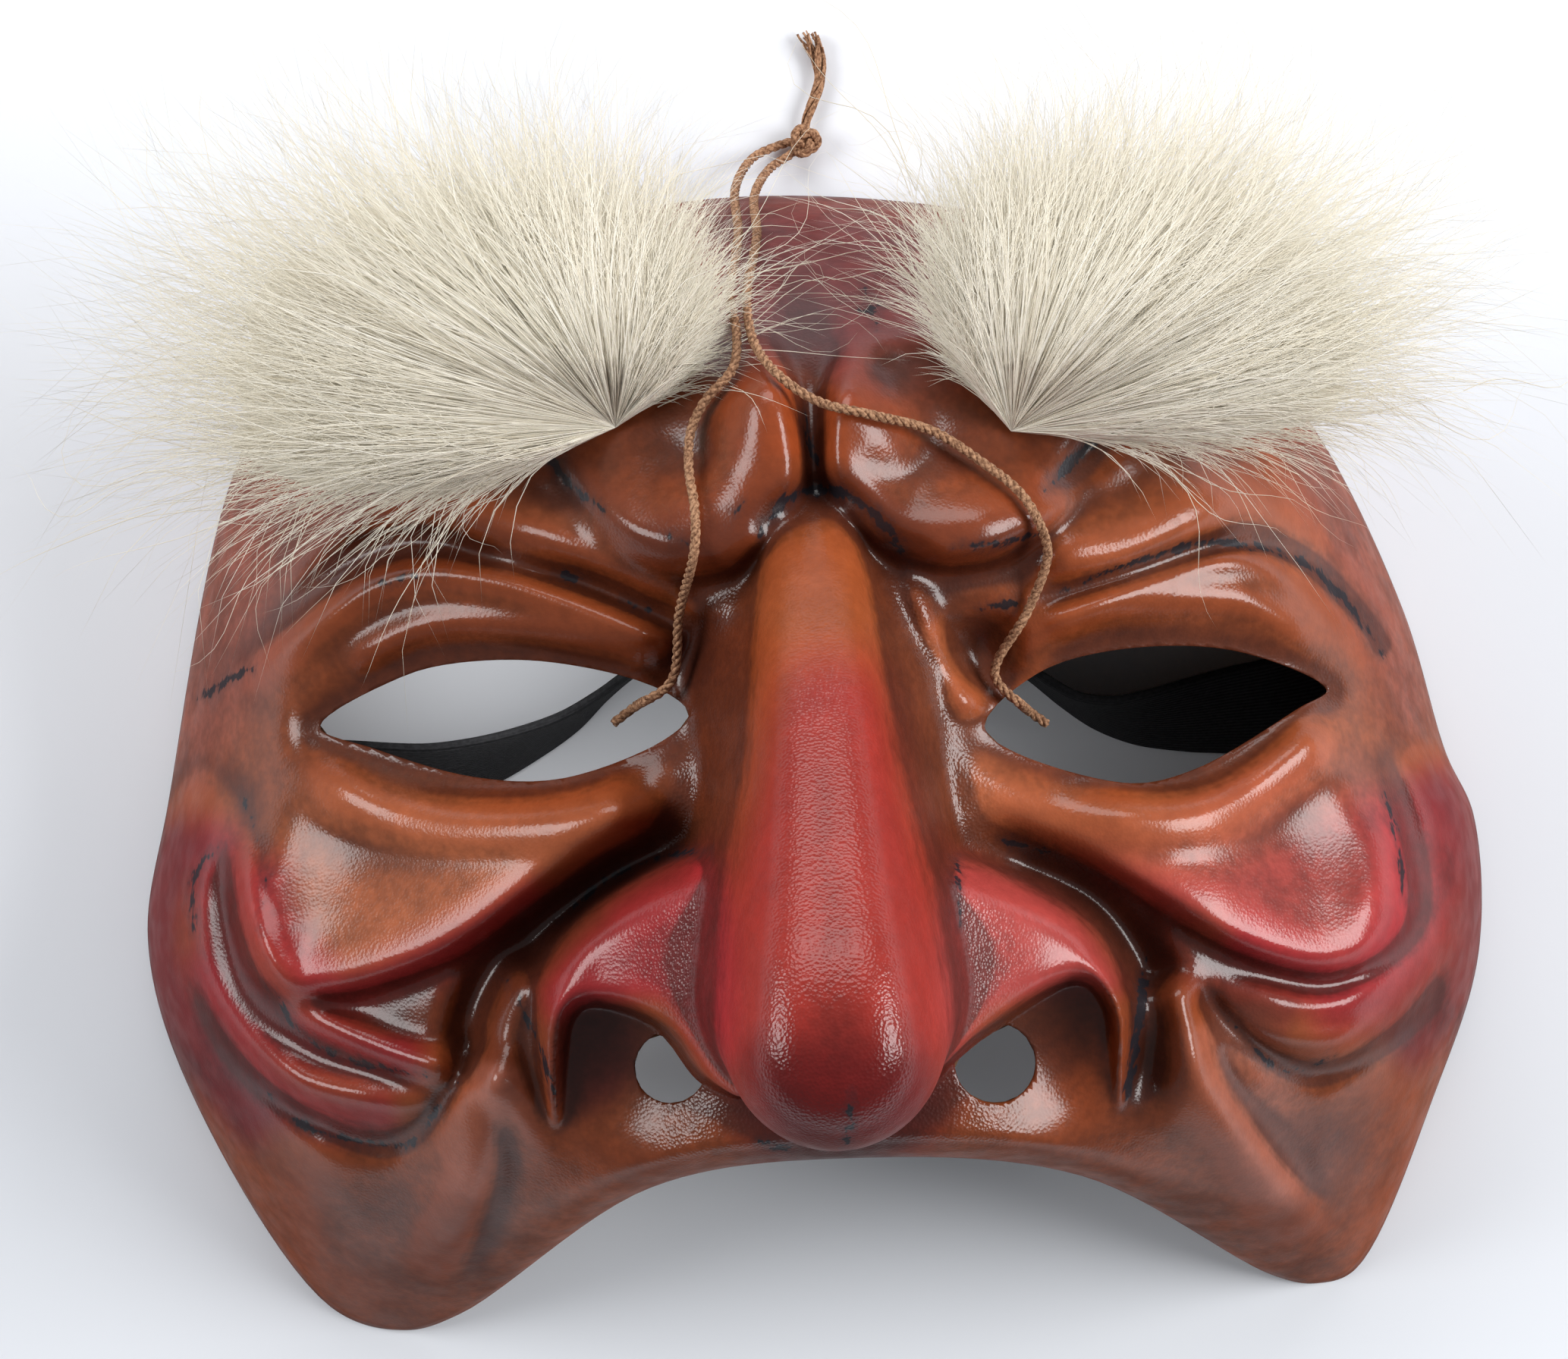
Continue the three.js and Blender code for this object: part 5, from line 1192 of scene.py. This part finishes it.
    def wisps(self, seed, edges, count):
        """Long single hairs that fall from the edges of the fur over the leather."""
        rng = np.random.default_rng(seed)
        pick = rng.integers(0, len(edges), count)
        angle, turn, low_share, high_share = np.array(edges, float)[pick].T
        angle = angle + rng.normal(0, 5, count)
        share = mix(low_share, high_share, rng.random(count))
        length = rng.uniform(14, 34, count)
        heading = np.radians(angle + rng.normal(0, 14, count))
        turn = np.radians(turn * rng.uniform(0.3, 1.3, count))
        curl = rng.normal(0, 0.9, count)
        phase = rng.uniform(0, 2 * np.pi, count)
        x, y, low, high = self.lies(angle, self.reach(np.clip(angle, self.first, self.last)) * share)
        height = mix(low, high, 0.5)
        rows = []
        for t in np.linspace(0, 1, WISP_RINGS):
            ground = ground_at(x, y) + 0.5
            fallen = height - rng.uniform(0.1, 0.9, count)
            height = np.maximum(fallen, ground + rng.uniform(0, 1.2, count) * t)
            rows.append(place(x, y, height))
            now = heading + turn * t + curl * np.sin(6 * t + phase) * t
            x = x + length / (WISP_RINGS - 1) * np.cos(now)
            y = y + length / (WISP_RINGS - 1) * np.sin(now)
        middles = np.stack(rows, 1)
        t = np.linspace(0, 1, WISP_RINGS)[None]
        thick = rng.uniform(0.04, 0.07, count)[:, None] * (1.05 - t ** 2) * MM
        shade = np.clip(rng.normal(0.35, 0.25, count), 0, 1)[:, None] * np.ones(t.shape)
        kept = self.within(middles)
        return hair_mesh(f"{self.name}_wisps", middles[kept], thick[kept], shade[kept], self.name)


def hair_mesh(name, middles, radii, shade, replaced):
    """Three sided hairs that end in a point."""
    count, rings = middles.shape[:2]
    first, second = across_run(middles)
    parts = []
    for k in range(3):
        angle = 2 * np.pi * k / 3 + 0.5
        parts.append(middles + (first * np.cos(angle) + second * np.sin(angle)) * radii[..., None])
    points = np.stack(parts, 2)[:, :-1].reshape(count, -1, 3)
    points = np.concatenate([points, middles[:, -1:]], 1)
    per = points.shape[1]
    ring = []
    for r in range(rings - 2):
        for k in range(3):
            a, b = 3 * r + k, 3 * r + (k + 1) % 3
            ring.append([a, b, b + 3, a + 3])
    last = 3 * (rings - 2)
    base = (np.arange(count) * per)[:, None, None]
    quads = (np.array(ring)[None] + base).reshape(-1, 4).tolist()
    tips = np.array([[last + k, last + (k + 1) % 3, per - 1] for k in range(3)])
    tips = (tips[None] + base).reshape(-1, 3).tolist()
    tone = np.concatenate([np.repeat(shade[:, :-1], 3, axis=1), shade[:, -1:]], 1)
    return make_mesh(name, points.reshape(-1, 3), quads + tips, "fur", replaced, {"shade": tone.ravel()})


class Nodes:
    """Builds a material's nodes."""

    def __init__(self, name):
        self.material = bpy.data.materials.new(name)
        self.material.use_nodes = True
        self.tree = self.material.node_tree
        self.shader = self.tree.nodes["Principled BSDF"]
        self.place = self.add("ShaderNodeTexCoord").outputs["Object"]

    def put(self, socket, value):
        if isinstance(value, bpy.types.NodeSocket):
            self.tree.links.new(value, socket)
        elif socket.type == "RGBA":
            socket.default_value = (*value, 1)
        else:
            socket.default_value = value

    def add(self, kind, settings=(), **inputs):
        node = self.tree.nodes.new(kind)
        for key, value in dict(settings).items():
            setattr(node, key, value)
        for key, value in inputs.items():
            self.put(node.inputs[key.replace("_", " ")], value)
        return node

    def math(self, operation, a, b=0.0):
        node = self.add("ShaderNodeMath", {"operation": operation})
        self.put(node.inputs[0], a)
        self.put(node.inputs[1], b)
        return node.outputs[0]

    def ramp(self, value, low, high, start=0.0, end=1.0):
        node = self.add("ShaderNodeMapRange", {"interpolation_type": "SMOOTHSTEP"})
        for key, content in zip(("Value", "From Min", "From Max", "To Min", "To Max"),
                                (value, low, high, start, end)):
            self.put(node.inputs[key], content)
        return node.outputs["Result"]

    def blend(self, share, a, b, kind="MIX"):
        node = self.add("ShaderNodeMix", {"data_type": "RGBA", "blend_type": kind})
        for index, value in ((0, share), (6, a), (7, b)):
            self.put(node.inputs[index], value)
        return node.outputs[2]

    def noise(self, scale, detail=2.0, roughness=0.5, stretch=(1, 1, 1)):
        mapping = self.add("ShaderNodeMapping", Vector=self.place, Scale=stretch)
        node = self.add("ShaderNodeTexNoise", Vector=mapping.outputs[0], Scale=scale, Detail=detail,
                        Roughness=roughness)
        return node.outputs["Fac"]

    def cells(self, scale):
        node = self.add("ShaderNodeTexVoronoi", Vector=self.place, Scale=scale)
        return node.outputs["Distance"]

    def read(self, name, output="Fac"):
        return self.add("ShaderNodeAttribute", {"attribute_name": name}).outputs[output]

    def bump(self, height, strength, distance, before=None):
        node = self.add("ShaderNodeBump", Height=height, Strength=strength, Distance=distance)
        if before is not None:
            self.put(node.inputs["Normal"], before)
        return node.outputs["Normal"]

    def finish(self, **inputs):
        for key, value in inputs.items():
            self.put(self.shader.inputs[key.replace("_", " ")], value)
        return self.material


def leather_material():
    n = Nodes("leather")
    # The leather's colour, with its painted shade and painted highlights
    dye = n.read("dye", "Color")
    raised, ink, nose = n.read("raised"), n.read("ink"), n.read("nose")
    wax = n.ramp(n.read("wax"), 0.0, 1.0, 0.06, 0.80)
    mottle = n.ramp(n.noise(140, 3, 0.62), 0.30, 0.70, 0.58, 0.92)
    fine_mottle = n.ramp(n.noise(900, 1, 0.6), 0.3, 0.7, 0.88, 1.1)
    color = n.blend(1.0, dye, n.math("MULTIPLY", mottle, fine_mottle), "MULTIPLY")
    # Raised crests are lightened, partly as wear and partly as a painted highlight
    crest_wear_and_highlight = n.math("MULTIPLY", n.ramp(raised, 0.05, 0.8), 0.45)
    color = n.blend(crest_wear_and_highlight, color, n.blend(1.0, dye, (1.25, 1.15, 1.15), "MULTIPLY"))
    # Painted shade: creases are darkened towards a near-black brown
    crease_painted_shade = n.math("MULTIPLY", n.ramp(raised, -0.05, -0.85), 0.62)
    color = n.blend(crease_painted_shade, color, (0.040, 0.010, 0.007))
    rough_edge = n.math("MULTIPLY", n.math("SUBTRACT", n.noise(700, 2, 0.7, (1, 0.5, 1)), 0.5), 2.4)
    stroke = n.ramp(n.math("ADD", ink, rough_edge), 0.0, -0.30)
    color = n.blend(n.math("MULTIPLY", stroke, 0.92), color, (0.012, 0.013, 0.018))
    smear = n.ramp(n.math("ADD", ink, n.math("MULTIPLY", rough_edge, 1.6)), 1.1, -0.2)
    color = n.blend(n.math("MULTIPLY", smear, 0.25), color, (0.020, 0.018, 0.022))
    grain = n.math("MULTIPLY", n.cells(2600), n.ramp(nose, 0.0, 1.0, 0.35, 1.2))
    pebble = n.bump(grain, 0.5, 0.00010)
    normal = n.bump(n.noise(60, 1, 0.5), 0.14, 0.0012, pebble)
    rough = n.ramp(n.noise(260, 1, 0.6), 0.3, 0.7, 0.46, 0.62)
    rough = n.math("ADD", rough, n.math("MULTIPLY", stroke, 0.15))
    return n.finish(Base_Color=color, Roughness=rough, Normal=normal, Coat_Normal=normal,
                    Specular_IOR_Level=0.06, Coat_Weight=wax, Coat_Roughness=0.19)


def fur_material():
    n = Nodes("fur")
    shade = n.read("shade")
    color = n.blend(shade, (0.80, 0.73, 0.58), (0.94, 0.90, 0.80))
    return n.finish(Base_Color=color, Roughness=0.7, Specular_IOR_Level=0.15)


def elastic_material():
    n = Nodes("elastic")
    width = n.read("width")
    ribs = n.math("SINE", n.math("MULTIPLY", width, 90.0))
    weave = n.noise(1800, 2, 0.5)
    normal = n.bump(n.math("ADD", ribs, weave), 0.6, 0.0002)
    color = n.blend(n.ramp(weave, 0.3, 0.7), (0.006, 0.006, 0.007), (0.016, 0.016, 0.018))
    return n.finish(Base_Color=color, Roughness=0.85, Normal=normal, Specular_IOR_Level=0.25)


def string_material():
    n = Nodes("string")
    fibres = n.noise(2600, 1, 0.6)
    color = n.blend(n.ramp(fibres, 0.3, 0.7), (0.17, 0.078, 0.040), (0.48, 0.27, 0.155))
    normal = n.bump(fibres, 0.5, 0.0002)
    return n.finish(Base_Color=color, Roughness=0.85, Normal=normal, Specular_IOR_Level=0.25)


def table_material():
    n = Nodes("table")
    tone = n.ramp(n.noise(9, 0, 0.5), 0.3, 0.7)
    color = n.blend(tone, (0.80, 0.83, 0.88), (0.83, 0.855, 0.90))
    return n.finish(Base_Color=color, Roughness=0.7, Specular_IOR_Level=0.2)


# Camera
camera_data = bpy.data.cameras.new("camera")
camera_data.sensor_width = SENSOR_WIDTH
camera_data.lens = LENS
camera = bpy.data.objects.new("camera", camera_data)
bpy.context.scene.collection.objects.link(camera)
camera.location = [(VIEW_PLACE[k] + SHIFT[k]) * MM for k in (0, 1)] + [VIEW_HEIGHT * MM]
camera.rotation_euler = (0, 0, math.radians(VIEW_TURN))
bpy.context.scene.camera = camera
bpy.context.scene.view_settings.view_transform = "Standard"

MATERIALS = {"leather": leather_material(), "fur": fur_material(), "elastic": elastic_material(),
             "cord": string_material()}


def add_cords():
    knot_middle = place(KNOT[0], KNOT[1], KNOT_SIZE * 0.45 + CORD_GAP)
    t = np.linspace(0, 2 * np.pi, 120)
    loop = np.stack([(2 + np.cos(3 * t)) * np.cos(2 * t), (2 + np.cos(3 * t)) * np.sin(2 * t) * 1.1,
                     np.sin(3 * t)], -1) * KNOT_LOOP * MM
    knot = make_mesh("string_knot", *twisted(loop + knot_middle, STRING_DIAMETER * MM), "cord", "cord_knot")
    end = evenly(place(*curve_through(CORD_END).T, TAIL_HEIGHT), CORD_STEP * MM)
    tail = make_mesh("string_end", *frayed(end, TAIL_DIAMETER * MM), "cord", "cord_knot")
    strands = (("hanging_cord_left", CORD_LEFT, [knot, tail]), ("hanging_cord_right", CORD_RIGHT, []))
    for name, route, together in strands:
        middles = cord_path(route)
        points, faces = twisted(middles, STRING_DIAMETER * MM)
        piece = make_mesh(name.replace("hanging", "string"), points, faces, "cord", name)


add_cords()
leather_face()
leather_lining()
elastic_strap()
for number, title in enumerate(FURS):
    brow = Brow(title)
    brow.lump()
    for part in (1, 2):
        brow.hairs(part, 10 * number + part)
    brow.wisps(20 + number, EDGES[title], WISPS)

# Floor and light
bpy.ops.mesh.primitive_plane_add(size=FLOOR_SIZE)
floor = bpy.context.object
floor.name = "floor"
floor.data.materials.append(table_material())

for name, (at, size, power, target) in LAMPS.items():
    light = bpy.data.lights.new(name, "AREA")
    light.shape = "RECTANGLE"
    light.size, light.size_y = size
    light.energy = power
    lamp = bpy.data.objects.new(name, light)
    bpy.context.scene.collection.objects.link(lamp)
    lamp.location = at
    lamp.rotation_euler = (Vector(target) - Vector(at)).to_track_quat("-Z", "Y").to_euler()
world = bpy.data.worlds.new("world")
bpy.context.scene.world = world
world.use_nodes = True
world.node_tree.nodes["Background"].inputs["Color"].default_value = SKY
world.node_tree.nodes["Background"].inputs["Strength"].default_value = SKY_STRENGTH
